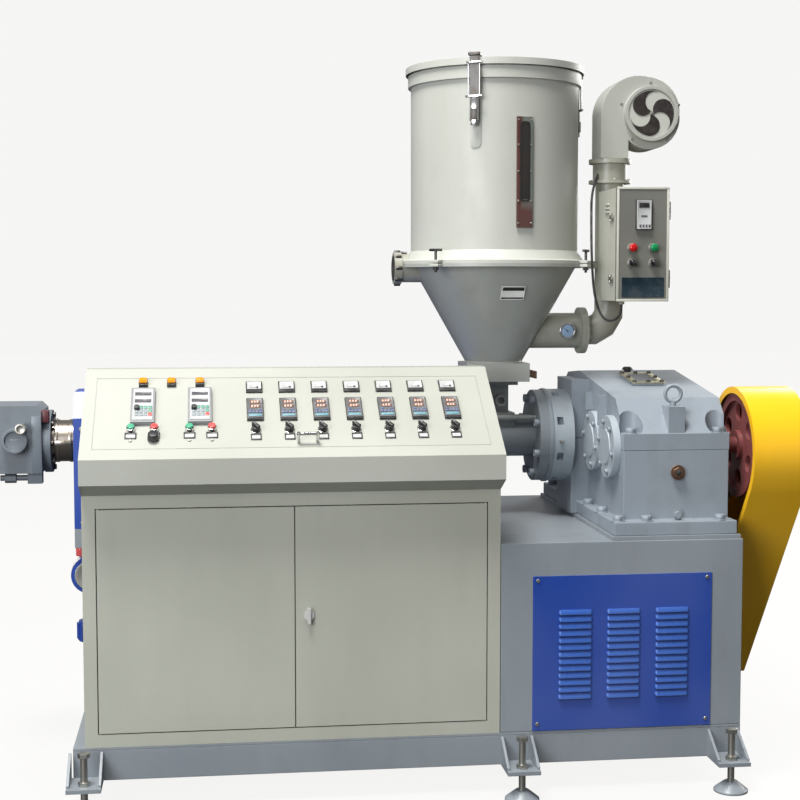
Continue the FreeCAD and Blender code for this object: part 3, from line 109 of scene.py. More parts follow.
def facing(direction, nearness=0.98):
    direction = Vector(direction).normalized()
    return lambda face: face.normal.dot(direction) > nearness


topFace = facing((0, 0, 1))


def pickWidest(piece, direction=(0, 0, 1)):
    widest = max(filter(facing(direction), piece.data.polygons), key=lambda face: face.area).index
    pickFaces(piece, lambda face: face.index == widest)


def sinkPicked(direction, drop, opened=False):
    bpy.ops.mesh.extrude_region_move(TRANSFORM_OT_translate={"value": Vector(direction) * -drop})
    if opened:  # the sunk face goes, which leaves a ring with an inner wall
        bpy.ops.mesh.delete(type="FACE")
    bpy.ops.object.mode_set(mode="OBJECT")


def insetFaces(piece, test, thickness, depth=0.0):
    pickFaces(piece, test)
    bpy.ops.mesh.inset(thickness=thickness, depth=depth)
    bpy.ops.object.mode_set(mode="OBJECT")
    return piece


def extrudeFaces(piece, test, move, shrink=None, centre=None):
    pickFaces(piece, test)
    bpy.ops.mesh.extrude_region_move(TRANSFORM_OT_translate={"value": Vector(move)})
    if shrink is not None:
        bpy.ops.transform.resize(value=shrink, center_override=Vector(centre))
    bpy.ops.object.mode_set(mode="OBJECT")
    return piece


def pickEdges(piece, test):
    makeActive(piece)
    bpy.ops.object.mode_set(mode="EDIT")
    bpy.ops.mesh.select_mode(type="EDGE")
    bpy.ops.mesh.select_all(action="DESELECT")
    bpy.ops.object.mode_set(mode="OBJECT")
    points = piece.data.vertices
    for edge in piece.data.edges:
        edge.select = test(points[edge.vertices[0]].co, points[edge.vertices[1]].co)
    bpy.ops.object.mode_set(mode="EDIT")


def bevelPicked(piece, test, width, segments=3):
    pickEdges(piece, test)
    bpy.ops.mesh.bevel(offset=width, segments=segments, affect="EDGES")
    bpy.ops.object.mode_set(mode="OBJECT")
    return piece


def softenEdges(piece, width, segments=2, angle=35):
    makeActive(piece)
    bevel = piece.modifiers.new("soften", "BEVEL")
    bevel.width = width
    bevel.segments = segments
    bevel.limit_method = "ANGLE"
    bevel.angle_limit = math.radians(angle)
    bpy.ops.object.modifier_apply(modifier=bevel.name)
    return piece


def joinPieces(name, parts):
    clearSelection()
    for part in parts:
        part.select_set(True)
    bpy.context.view_layer.objects.active = parts[0]
    if len(parts) > 1:
        bpy.ops.object.join()
    piece = bpy.context.object
    piece.name = piece.data.name = name
    return piece


def repeatPiece(master, name, places):
    twins = []
    for place in places:
        twin = master.copy()
        twin.data = master.data.copy()
        bpy.context.scene.collection.objects.link(twin)
        twin.data.transform(place)
        twins.append(twin)
    bpy.data.objects.remove(master)
    return joinPieces(name, twins)


def placeBy(piece, matrix):
    piece.data.transform(matrix)
    return piece


def finishPiece(piece, material, body="machine", angle=35):
    makeActive(piece)
    bpy.ops.object.shade_smooth_by_angle(angle=math.radians(angle))
    piece.data.materials.clear()
    piece.data.materials.append(material)
    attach(piece, body)


def copyOut(name, master, places, material, body="machine", angle=35):
    finishPiece(repeatPiece(master, name, places), material, body, angle)


# a head or screw is modelled pointing along +Z at the origin, then turned to its face
def faceTurn(direction):
    return Vector((0, 0, 1)).rotation_difference(Vector(direction)).to_matrix().to_4x4()


def faceFront(piece, point):
    return placeBy(piece, Matrix.Translation(point) @ faceTurn((0, -1, 0)))


def spots(points, direction):
    return [Matrix.Translation(point) @ faceTurn(direction) for point in points]


def ringSpots(centre, radius, count, direction, start=0.0):
    turn = faceTurn(direction)
    places = []
    for index in range(count):
        angle = start + 2 * math.pi * index / count
        arm = turn @ Vector((radius * math.cos(angle), radius * math.sin(angle), 0))
        places.append(Matrix.Translation(Vector(centre) + arm) @ turn)
    return places


def hexHead(name, radius, height):
    head = startRound(name, (0, 0, height / 2), radius, height, sides=6)
    insetFaces(head, topFace, radius * 0.12, 0)
    pickFaces(head, topFace)
    bpy.ops.transform.translate(value=(0, 0, height * 0.08))
    bpy.ops.object.mode_set(mode="OBJECT")
    washer = startRound(name + "Washer", (0, 0, height * 0.08), radius * 1.3, height * 0.16, sides=28)
    softenEdges(washer, height * 0.03, 1)
    softenEdges(head, radius * 0.06, 1)
    return joinPieces(name, [head, washer])


def capHead(name, radius, height):
    head = startRound(name, (0, 0, height / 2), radius, height, sides=28)
    insetFaces(head, topFace, radius * 0.42, 0)
    pickFaces(head, lambda face: face.normal.z > 0.98 and face.center.xy.length < radius * 0.3)
    bpy.ops.mesh.extrude_region_move(TRANSFORM_OT_translate={"value": Vector((0, 0, -height * 0.5))})
    bpy.ops.object.mode_set(mode="OBJECT")
    return softenEdges(head, radius * 0.08, 2)


def panHead(name, radius, height):
    head = startRound(name, (0, 0, height / 2), radius, height, sides=24)
    pickFaces(head, topFace)
    bpy.ops.transform.resize(value=(0.72, 0.72, 1), center_override=(0, 0, height))
    bpy.ops.object.mode_set(mode="OBJECT")
    slotWidth = radius * 0.18
    pickFaces(head, topFace)
    bpy.ops.mesh.inset(thickness=radius * 0.2, depth=-slotWidth * 0.2)
    bpy.ops.object.mode_set(mode="OBJECT")
    return softenEdges(head, radius * 0.1, 2)


# ---- materials

def paintTone(red, green, blue):
    def toLinear(value):
        value /= 255
        return value / 12.92 if value <= 0.04045 else ((value + 0.055) / 1.055) ** 2.4
    return (toLinear(red), toLinear(green), toLinear(blue), 1.0)


def startGroup(name, inputs, outputs):
    group = bpy.data.node_groups.new(name, "ShaderNodeTree")
    for label, kind, value in inputs:
        socket = group.interface.new_socket(label, in_out="INPUT", socket_type=kind)
        socket.default_value = value
    for label, kind in outputs:
        group.interface.new_socket(label, in_out="OUTPUT", socket_type=kind)
    group.nodes.new("NodeGroupInput").location = (-900, 0)
    group.nodes.new("NodeGroupOutput").location = (900, 0)
    return group, group.nodes["Group Input"], group.nodes["Group Output"]


def mixColours(tree, factor, first, second, blend="MIX"):
    mix = tree.nodes.new("ShaderNodeMix")
    mix.data_type = "RGBA"
    mix.blend_type = blend
    for socket, value in ((mix.inputs[0], factor), (mix.inputs[6], first), (mix.inputs[7], second)):
        if isinstance(value, bpy.types.NodeSocket):
            tree.links.new(value, socket)
        else:
            socket.default_value = value
    return mix.outputs[2]


def mathNode(tree, operation, first, second=0.0, clamp=False):
    node = tree.nodes.new("ShaderNodeMath")
    node.operation = operation
    node.use_clamp = clamp
    for socket, value in ((node.inputs[0], first), (node.inputs[1], second)):
        if isinstance(value, bpy.types.NodeSocket):
            tree.links.new(value, socket)
        else:
            socket.default_value = value
    return node.outputs[0]


def rampNode(tree, factor, low, high):
    node = tree.nodes.new("ShaderNodeMapRange")
    node.inputs["From Min"].default_value = low
    node.inputs["From Max"].default_value = high
    tree.links.new(factor, node.inputs["Value"])
    return node.outputs["Result"]


def objectPoint(tree, scale=(1, 1, 1)):
    coords = tree.nodes.new("ShaderNodeTexCoord")
    mapping = tree.nodes.new("ShaderNodeMapping")
    mapping.inputs["Scale"].default_value = scale
    tree.links.new(coords.outputs["Object"], mapping.inputs["Vector"])
    return mapping.outputs["Vector"]


def noiseNode(tree, point, scale, detail=3.0, roughness=0.5):
    noise = tree.nodes.new("ShaderNodeTexNoise")
    noise.inputs["Scale"].default_value = scale
    noise.inputs["Detail"].default_value = detail
    noise.inputs["Roughness"].default_value = roughness
    tree.links.new(point, noise.inputs["Vector"])
    return noise.outputs["Fac"]


def buildPaintGroup():
    tree, entry, leave = startGroup("enamelCoat", [
        ("Paint", "NodeSocketColor", (0.5, 0.5, 0.5, 1)),
        ("Grime", "NodeSocketColor", (0.2, 0.18, 0.15, 1)),
        ("Grime Amount", "NodeSocketFloat", 0.2),
        ("Chip", "NodeSocketColor", (0.25, 0.22, 0.2, 1)),
        ("Chip Amount", "NodeSocketFloat", 0.1),
        ("Gloss Base", "NodeSocketFloat", 0.4),
    ], [("Color", "NodeSocketColor"), ("Roughness", "NodeSocketFloat"), ("Height", "NodeSocketFloat")])
    links = tree.links
    # slow drift of tone over a whole panel
    drift = noiseNode(tree, objectPoint(tree), 2.2, 2.0)
    driftTone = rampNode(tree, drift, 0.25, 0.75)
    lighter = mixColours(tree, 0.06, entry.outputs["Paint"], (1, 1, 1, 1))
    darker = mixColours(tree, 0.08, entry.outputs["Paint"], (0, 0, 0, 1))
    colour = mixColours(tree, driftTone, darker, lighter)
    # streaks that run down and blotches of handling dirt
    streak = noiseNode(tree, objectPoint(tree, (14, 14, 1.6)), 1.0, 5.0, 0.6)
    blotch = noiseNode(tree, objectPoint(tree), 9.0, 6.0, 0.65)
    dirt = mathNode(tree, "MULTIPLY", rampNode(tree, streak, 0.42, 0.72), rampNode(tree, blotch, 0.4, 0.7))
    dirt = mathNode(tree, "MULTIPLY", dirt, entry.outputs["Grime Amount"], True)
    colour = mixColours(tree, dirt, colour, entry.outputs["Grime"])
    # worn corners, found where a rounded normal leaves the flat one
    rounded = tree.nodes.new("ShaderNodeBevel")
    rounded.samples = 4
    rounded.inputs["Radius"].default_value = 0.004
    geometry = tree.nodes.new("ShaderNodeNewGeometry")
    dot = tree.nodes.new("ShaderNodeVectorMath")
    dot.operation = "DOT_PRODUCT"
    links.new(rounded.outputs["Normal"], dot.inputs[0])
    links.new(geometry.outputs["Normal"], dot.inputs[1])
    edge = rampNode(tree, dot.outputs["Value"], 0.995, 0.85)
    breakUp = rampNode(tree, noiseNode(tree, objectPoint(tree), 55.0, 4.0, 0.7), 0.5, 0.68)
    chip = mathNode(tree, "MULTIPLY", edge, breakUp)
    chip = mathNode(tree, "MULTIPLY", chip, entry.outputs["Chip Amount"], True)
    colour = mixColours(tree, chip, colour, entry.outputs["Chip"])
    links.new(colour, leave.inputs["Color"])
    # sheen varies with the dirt, and the coat has a faint orange peel
    dull = mathNode(tree, "MULTIPLY", mathNode(tree, "ADD", dirt, chip), 0.35)
    wave = mathNode(tree, "MULTIPLY", mathNode(tree, "SUBTRACT", blotch, 0.5), 0.12)
    rough = mathNode(tree, "ADD", mathNode(tree, "ADD", entry.outputs["Gloss Base"], dull), wave)
    links.new(rough, leave.inputs["Roughness"])
    peel = noiseNode(tree, objectPoint(tree), 420.0, 2.0)
    height = mathNode(tree, "SUBTRACT", peel, mathNode(tree, "MULTIPLY", chip, 1.5))
    links.new(height, leave.inputs["Height"])
    return tree


def buildMetalGroup():
    tree, entry, leave = startGroup("bareMetal", [
        ("Metal", "NodeSocketColor", (0.6, 0.6, 0.6, 1)),
        ("Stain", "NodeSocketColor", (0.25, 0.15, 0.08, 1)),
        ("Stain Amount", "NodeSocketFloat", 0.2),
        ("Gloss Base", "NodeSocketFloat", 0.3),
        ("Grain Scale", "NodeSocketFloat", 1.0),
    ], [("Color", "NodeSocketColor"), ("Roughness", "NodeSocketFloat"), ("Height", "NodeSocketFloat")])
    links = tree.links
    point = objectPoint(tree, (40, 900, 900))
    grain = tree.nodes.new("ShaderNodeTexNoise")
    grain.inputs["Detail"].default_value = 2.0
    links.new(point, grain.inputs["Vector"])
    links.new(entry.outputs["Grain Scale"], grain.inputs["Scale"])
    blotch = rampNode(tree, noiseNode(tree, objectPoint(tree), 26.0, 6.0, 0.7), 0.48, 0.72)
    stain = mathNode(tree, "MULTIPLY", blotch, entry.outputs["Stain Amount"], True)
    toned = mixColours(tree, mathNode(tree, "MULTIPLY", grain.outputs["Fac"], 0.25), entry.outputs["Metal"],
                       (0.1, 0.1, 0.1, 1))
    links.new(mixColours(tree, stain, toned, entry.outputs["Stain"]), leave.inputs["Color"])
    rough = mathNode(tree, "ADD", entry.outputs["Gloss Base"], mathNode(tree, "MULTIPLY", stain, 0.4))
    rough = mathNode(tree, "ADD", rough, mathNode(tree, "MULTIPLY", grain.outputs["Fac"], 0.1))
    links.new(rough, leave.inputs["Roughness"])
    links.new(grain.outputs["Fac"], leave.inputs["Height"])
    return tree


def buildPlasticGroup():
    tree, entry, leave = startGroup("mouldedPlastic", [
        ("Plastic", "NodeSocketColor", (0.5, 0.5, 0.5, 1)),
        ("Dust Amount", "NodeSocketFloat", 0.1),
        ("Gloss Base", "NodeSocketFloat", 0.35),
    ], [("Color", "NodeSocketColor"), ("Roughness", "NodeSocketFloat"), ("Height", "NodeSocketFloat")])
    links = tree.links
    fine = noiseNode(tree, objectPoint(tree), 900.0, 2.0)
    broad = rampNode(tree, noiseNode(tree, objectPoint(tree), 40.0, 5.0, 0.6), 0.45, 0.75)
    dust = mathNode(tree, "MULTIPLY", broad, entry.outputs["Dust Amount"], True)
    links.new(mixColours(tree, dust, entry.outputs["Plastic"], (0.55, 0.53, 0.48, 1)), leave.inputs["Color"])
    rough = mathNode(tree, "ADD", entry.outputs["Gloss Base"], mathNode(tree, "MULTIPLY", broad, 0.18))
    links.new(rough, leave.inputs["Roughness"])
    links.new(fine, leave.inputs["Height"])
    return tree


coatGroup = buildPaintGroup()
metalGroup = buildMetalGroup()
plasticGroup = buildPlasticGroup()


def groupMaterial(name, group, values, bump=0.02, depth=0.0002, **shaderValues):
    material = bpy.data.materials.new(name)
    material.use_nodes = True
    tree = material.node_tree
    shader = tree.nodes["Principled BSDF"]
    node = tree.nodes.new("ShaderNodeGroup")
    node.node_tree = group
    node.location = (-400, 0)
    for key, value in values.items():
        node.inputs[key].default_value = value
    tree.links.new(node.outputs["Color"], shader.inputs["Base Color"])
    tree.links.new(node.outputs["Roughness"], shader.inputs["Roughness"])
    bumpNode = tree.nodes.new("ShaderNodeBump")
    bumpNode.inputs["Strength"].default_value = bump
    bumpNode.inputs["Distance"].default_value = depth
    tree.links.new(node.outputs["Height"], bumpNode.inputs["Height"])
    tree.links.new(bumpNode.outputs["Normal"], shader.inputs["Normal"])
    for key, value in shaderValues.items():
        shader.inputs[key].default_value = value
    return material


def enamel(name, tone, grime=0.2, chip=0.3, gloss=0.38, grimeTone=(70, 66, 58), chipTone=(70, 62, 54),
           bump=0.12):
    return groupMaterial(name, coatGroup, {
        "Paint": paintTone(*tone), "Grime": paintTone(*grimeTone), "Grime Amount": grime,
        "Chip": paintTone(*chipTone), "Chip Amount": chip, "Gloss Base": gloss,
    }, bump=bump)


def bareMetal(name, tone, stain=0.2, gloss=0.28, stainTone=(96, 72, 52), grain=1.0, bump=0.15):
    material = groupMaterial(name, metalGroup, {
        "Metal": paintTone(*tone), "Stain": paintTone(*stainTone), "Stain Amount": stain,
        "Gloss Base": gloss, "Grain Scale": grain,
    }, bump=bump)
    material.node_tree.nodes["Principled BSDF"].inputs["Metallic"].default_value = 1.0
    return material


def plastic(name, tone, dust=0.12, gloss=0.34, bump=0.08):
    return groupMaterial(name, plasticGroup, {
        "Plastic": paintTone(*tone), "Dust Amount": dust, "Gloss Base": gloss,
    }, bump=bump)


def rustWindow(material):
    # rust comes in from the frame's right edge and up from its foot
    tree = material.node_tree
    place = tree.nodes.new("ShaderNodeTexCoord")
    across = tree.nodes.new("ShaderNodeVectorMath")  # along the frame's width
    across.operation = "DOT_PRODUCT"
    across.inputs[1].default_value = (0.988, 0.156, 0)
    up = tree.nodes.new("ShaderNodeSeparateXYZ")
    for node in (across, up):
        tree.links.new(place.outputs["Object"], node.inputs[0])
    side = rampNode(tree, across.outputs["Value"], 0.374, 0.362)
    foot = rampNode(tree, up.outputs["Z"], 1.745, 1.705)
    rust = mathNode(tree, "MAXIMUM", side, foot)
    patch = mixColours(tree, rust, paintTone(104, 112, 105), paintTone(82, 44, 38))
    coat = next(node for node in tree.nodes if node.type == "GROUP")
    tree.links.new(patch, coat.inputs["Paint"])


machineGrey = enamel("machineGrey", (134, 142, 149), grime=0.22, chip=0.5, gloss=0.34)
castingGrey = enamel("castingGrey", (138, 148, 158), grime=0.3, chip=0.5, gloss=0.36, bump=0.5)
cabinetCream = enamel("cabinetCream", (176, 178, 165), grime=0.1, chip=0.15, gloss=0.42)
panelCream = enamel("panelCream", (170, 172, 163), grime=0.05, chip=0.1, gloss=0.4)
louvreBlue = enamel("louvreBlue", (0, 60, 156), grime=0.05, chip=0.3, gloss=0.3, chipTone=(150, 156, 165))
guardYellow = enamel("guardYellow", (255, 196, 0), grime=0.06, chip=0.35, gloss=0.32, chipTone=(120, 92, 40))
pulleyRed = enamel("pulleyRed", (126, 58, 58), grime=0.45, chip=0.6, gloss=0.45, grimeTone=(40, 28, 26),
                   bump=0.4)
hopperGrey = enamel("hopperGrey", (184, 186, 178), grime=0.16, chip=0.3, gloss=0.42, grimeTone=(120, 104, 84))
ductGrey = enamel("ductGrey", (150, 150, 138), grime=0.35, chip=0.5, gloss=0.36, grimeTone=(96, 84, 66))
boxGrey = enamel("boxGrey", (108, 108, 101), grime=0.15, chip=0.35, gloss=0.4)
boxCream = enamel("boxCream", (182, 183, 170), grime=0.2, chip=0.35, gloss=0.38)
throatGrey = enamel("throatGrey", (146, 150, 148), grime=0.45, chip=0.6, gloss=0.4, bump=0.3)
# the hopper cone takes a darker copy of the hopper paint: painted shade for its downward-facing side, on top
# of its grime
coneShadedGrey = enamel("coneShadedGrey", (158, 161, 155), grime=0.35, chip=0.25, gloss=0.3, grimeTone=(110, 98, 84))
windowSteel = enamel("windowSteel", (112, 116, 110), grime=0.95, chip=0.9, gloss=0.4, grimeTone=(88, 56, 48))
rustWindow(windowSteel)
# a lighter copy of the casting paint for the coupling housing and bearing covers: painted highlight
castingLitGrey = enamel("castingLitGrey", (166, 176, 184), grime=0.3, chip=0.5, gloss=0.34, bump=0.4)
blowerGrey = enamel("blowerGrey", (166, 168, 161), grime=0.16, chip=0.25, gloss=0.4, grimeTone=(120, 104, 84))
handlePale = enamel("handlePale", (198, 199, 196), grime=0.2, chip=0.3, gloss=0.2)
dieGrey = enamel("dieGrey", (104, 113, 122), grime=0.35, chip=0.6, gloss=0.4, bump=0.3)
barrelSteel = bareMetal("barrelSteel", (168, 160, 150), stain=0.35, gloss=0.24)
zincPlate = bareMetal("zincPlate", (196, 194, 186), stain=0.15, gloss=0.34)
brightChrome = bareMetal("brightChrome", (225, 225, 225), stain=0.05, gloss=0.1, bump=0.03)
rustySteel = bareMetal("rustySteel", (150, 120, 100), stain=0.8, gloss=0.42, stainTone=(92, 52, 34))
brassTone = bareMetal("brassTone", (176, 128, 84), stain=0.4, gloss=0.3)
instrumentBlack = plastic("instrumentBlack", (34, 34, 36))
instrumentGrey = plastic("instrumentGrey", (98, 98, 100))
keypadGrey = plastic("keypadGrey", (132, 134, 138))
dialWhite = plastic("dialWhite", (184, 186, 186), dust=0.03)
keyBlue = plastic("keyBlue", (92, 104, 138))
bandTeal = plastic("bandTeal", (104, 150, 162))
displayBar = plastic("displayBar", (84, 82, 88), gloss=0.2)
windowBrown = plastic("windowBrown", (104, 84, 78), dust=0.04, gloss=0.2)
digitRed = plastic("digitRed", (224, 178, 160), gloss=0.2)
amberLens = plastic("amberLens", (226, 140, 14), gloss=0.15)
greenCap = plastic("greenCap", (70, 160, 125), gloss=0.2)
redCap = plastic("redCap", (222, 80, 78), gloss=0.2)
beltBlack = plastic("beltBlack", (26, 26, 27), dust=0.3, gloss=0.6, bump=0.4)
cableBlack = plastic("cableBlack", (28, 28, 30), dust=0.2, gloss=0.45)
darkInside = plastic("darkInside", (24, 24, 24), gloss=0.7)
plateBlue = plastic("plateBlue", (30, 48, 58), dust=0.05, gloss=0.3)
# the louvre slats take a lighter blue than the panel paint: painted highlight on their upper faces
louvreHighlightBlue = enamel("louvreHighlightBlue", (18, 84, 176), grime=0.1, chip=0.3, gloss=0.28, chipTone=(170, 176, 185))
louvreShade = enamel("louvreShade", (4, 26, 66), grime=0.1, chip=0.0, gloss=0.5)
lipPale = enamel("lipPale", (196, 196, 186), grime=0.1, chip=0.3, gloss=0.38)
dieShade = enamel("dieShade", (104, 114, 124), grime=0.4, chip=0.5, gloss=0.4, bump=0.3)
hatchShade = enamel("hatchShade", (84, 90, 94), grime=0.4, chip=0.3, gloss=0.4)
hatchBrass = bareMetal("hatchBrass", (206, 200, 172), stain=0.25, gloss=0.36)
darkSteel = bareMetal("darkSteel", (92, 90, 88), stain=0.35, gloss=0.36)
copperTone = bareMetal("copperTone", (178, 98, 66), stain=0.35, gloss=0.34)
plateSilver = plastic("plateSilver", (238, 239, 235), dust=0.05, gloss=0.3)
keypadPale = plastic("keypadPale", (136, 146, 150))
keyMint = plastic("keyMint", (92, 148, 128))
lampRed = plastic("lampRed", (186, 14, 14), dust=0.02, gloss=0.14)
lampGreen = plastic("lampGreen", (10, 128, 76), dust=0.02, gloss=0.14)
# the blower intake's petals: painted shade for the grille's openings
petalShade = plastic("petalShade", (36, 29, 28), dust=0.04, gloss=0.5)
maroonCap = plastic("maroonCap", (92, 48, 54), gloss=0.35)
dialBlue = plastic("dialBlue", (142, 170, 200), gloss=0.12)
windowDark = plastic("windowDark", (40, 52, 48), gloss=0.06)
print("materials made")


# ---- camera

cameraPlace = {"x": 0.391, "y": -4.222, "z": 1.464, "lens": 67.5, "down": 4.19, "across": 7.25}
bpy.ops.object.camera_add(
    location=at(cameraPlace["x"], cameraPlace["y"], cameraPlace["z"]),
    rotation=(math.radians(90 - cameraPlace["down"]), 0, math.radians(-cameraPlace["across"])))
viewCamera = bpy.context.object
viewCamera.data.lens = cameraPlace["lens"]
viewCamera.data.sensor_width = 36
bpy.context.scene.camera = viewCamera
print("camera set")


# ---- the dryer's cable, on the route that the CAD tube follows

cableRoute = [
    at(1.690, 0.420, 1.419), at(1.690, 0.420, 1.375), at(1.636, 0.430, 1.362), at(1.606, 0.440, 1.440),
    at(1.600, 0.452, 1.560), at(1.600, 0.462, 1.678), at(1.608, 0.492, 1.788), at(1.643, 0.545, 1.838),
]


def buildCable():
    diameter = 0.008
    shape = bpy.data.curves.new("dryerCable", "CURVE")
    shape.dimensions = "3D"
    spline = shape.splines.new("NURBS")
    spline.points.add(len(cableRoute) - 1)
    for point, place in zip(spline.points, cableRoute):
        point.co = (*place, 1)
    spline.order_u = 3
    spline.use_endpoint_u = True
    spline.resolution_u = 12
    shape.bevel_depth = diameter / 2
    shape.bevel_resolution = 4
    shape.use_fill_caps = True
    cable = bpy.data.objects.new("dryerCable", shape)
    bpy.context.scene.collection.objects.link(cable)
    shape.materials.append(cableBlack)
    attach(cable, "machine")
    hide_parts("dryer_cable")


buildCable()
print("cable made")


# ---- CAD nodes keep their shape and get their finish and softened edges

nodeFinish = {
    "base_frame": (machineGrey, 0.003), "deck_plate": (machineGrey, 0.0015),
    "drive_base": (machineGrey, 0.003), "louvre_panels": (louvreBlue, 0.0008),
    "foot_brackets": (machineGrey, 0.0015), "levelling_screws": (zincPlate, 0.001),
    "levelling_pads": (machineGrey, 0.0015), "cabinet_shell": (cabinetCream, 0.0),
    "cabinet_door_left": (cabinetCream, 0.0012), "cabinet_door_right": (cabinetCream, 0.0012),
    "door_handle": (handlePale, 0.0015), "console_shell": (panelCream, 0.0),
    "console_lid": (panelCream, 0.0005), "ammeters": (instrumentBlack, 0.0006),
    "temperature_controllers": (instrumentBlack, 0.0008), "lid_handle": (brightChrome, 0.001),
    "inverter_keypads": (keypadGrey, 0.002), "signal_lamps": (instrumentBlack, 0.002),
    "push_buttons": (brightChrome, 0.0015), "zone_switches": (instrumentBlack, 0.0015),
    "barrel": (machineGrey, 0.002), "heater_band": (barrelSteel, 0.0006), "barrel_cover": (louvreBlue, 0.0),
    "barrel_support": (machineGrey, 0.002), "cooling_blowers": (louvreBlue, 0.003),
    "die_block": (dieGrey, 0.003), "die_adapter": (dieGrey, 0.002), "die_fittings": (dieGrey, 0.0015),
    "gearbox_sole_plate": (machineGrey, 0.001), "gearbox_lower_case": (castingGrey, 0.004),
    "gearbox_upper_case": (castingGrey, 0.006), "eye_bolts": (castingGrey, 0.0),
    "bearing_covers": (castingLitGrey, 0.003), "coupling_housing": (castingLitGrey, 0.003),
    "inspection_cover": (castingGrey, 0.0015), "oil_fittings": (brassTone, 0.001),
    "driven_pulley": (pulleyRed, 0.0015), "motor_pulley": (pulleyRed, 0.0015),
    "drive_belts": (beltBlack, 0.001), "belt_guard": (guardYellow, 0.0), "feed_throat": (throatGrey, 0.002),
    "hopper_base": (hopperGrey, 0.0015), "slide_gate": (rustySteel, 0.001), "hopper_cone": (coneShadedGrey, 0.0),
    "hopper_barrel": (hopperGrey, 0.0), "hopper_lid": (hopperGrey, 0.0008),
    "lid_latches": (darkSteel, 0.001), "sight_window": (windowSteel, 0.0008),
    "exhaust_port": (ductGrey, 0.0015), "hot_air_inlet": (ductGrey, 0.0015),
    "thermometer": (brightChrome, 0.001), "hot_air_duct": (ductGrey, 0.001),
    "blower_housing": (blowerGrey, 0.003), "blower_grille": (hopperGrey, 0.0005),
    "blower_motor": (hopperGrey, 0.002), "control_box": (boxCream, 0.0),
    "control_box_door": (boxGrey, 0.001), "dryer_controls": (instrumentBlack, 0.001),
    "dryer_cable": (cableBlack, 0.0),
}
for nodeName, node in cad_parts.items():
    material, softness = nodeFinish[nodeName]
    node.data.materials.clear()
    node.data.materials.append(material)
    if "custom_normal" in node.data.attributes:
        node.data.attributes.remove(node.data.attributes["custom_normal"])
    node.data.polygons.foreach_set("use_smooth", [True] * len(node.data.polygons))
    weld = node.modifiers.new("weld", "WELD")
    weld.merge_threshold = 0.00002
    flatten = node.modifiers.new("flatten", "DECIMATE")
    flatten.decimate_type = "DISSOLVE"
    flatten.angle_limit = math.radians(0.6)
    if softness:
        soften = node.modifiers.new("soften", "BEVEL")
        soften.width = softness
        soften.segments = 2
        soften.limit_method = "ANGLE"
        soften.angle_limit = math.radians(50)
        soften.use_clamp_overlap = True
    split = node.modifiers.new("split", "EDGE_SPLIT")
    split.split_angle = math.radians(32)
    weighted = node.modifiers.new("weighted", "WEIGHTED_NORMAL")
    weighted.keep_sharp = True
print("CAD nodes finished")

# ---- control desk: pieces are modelled flat, x along the desk and y up its slope, then laid on it

deskTurn = Matrix.Translation(at(0.033, -0.080, 1.001)) @ Matrix.Rotation(math.atan2(0.231, 0.338), 4, "X")
deskRows = {"gauge": 0.314, "controller": 0.209, "switch": 0.120, "label": 0.089}
columnSpots = [0.487 + 0.095 * index for index in range(7)]


def onDesk(points):
    return [deskTurn @ Matrix.Translation(point) for point in points]


def deskRow(row, height):
    return onDesk([(x, deskRows[row], height) for x in columnSpots])


def softBox(name, low, high, softness=0.0004, segments=2):
    return softenEdges(startBox(name, low, high), softness, segments)


def recessed(name, low, high, border, drop, direction=(0, 0, 1)):
    plate = startBox(name, low, high)
    insetFaces(plate, facing(direction), border, 0)
    pickWidest(plate, direction)
    sinkPicked(direction, drop)
    return softenEdges(plate, border * 0.25, 2)


def buildGauges():
    gauge = {"half": 0.0205, "low": -0.0125, "thick": 0.0016, "seat": 0.006}
    half = gauge["half"]
    face = recessed("gaugeFace", (-half, gauge["low"], 0), (half, half, gauge["thick"]), 0.0014, 0.0005)
    copyOut("gaugeFaces", face, deskRow("gauge", gauge["seat"]), dialWhite, "lid")
    pivot = softenEdges(startRound("pivot", (0.009, -0.006, 0.0022), 0.0032, 0.002, sides=20), 0.0005)
    needle = softBox("needle", (-0.012, -0.0072, 0.0015), (0.009, -0.0062, 0.0021), 0.0002, 1)
    ticks = []
    for index in range(7):
        angle = math.radians(95 + 14 * index)
        tick = softBox("tick", (0.0195, -0.0003, 0.0012), (0.0225, 0.0003, 0.0016), 0.0001, 1)
        ticks.append(placeBy(tick, Matrix.Translation((0.009, -0.006, 0)) @ Matrix.Rotation(angle, 4, "Z")))
    hand = joinPieces("gaugeHand", [pivot, needle] + ticks)
    copyOut("gaugeHands", hand, deskRow("gauge", gauge["seat"]), instrumentBlack, "lid")


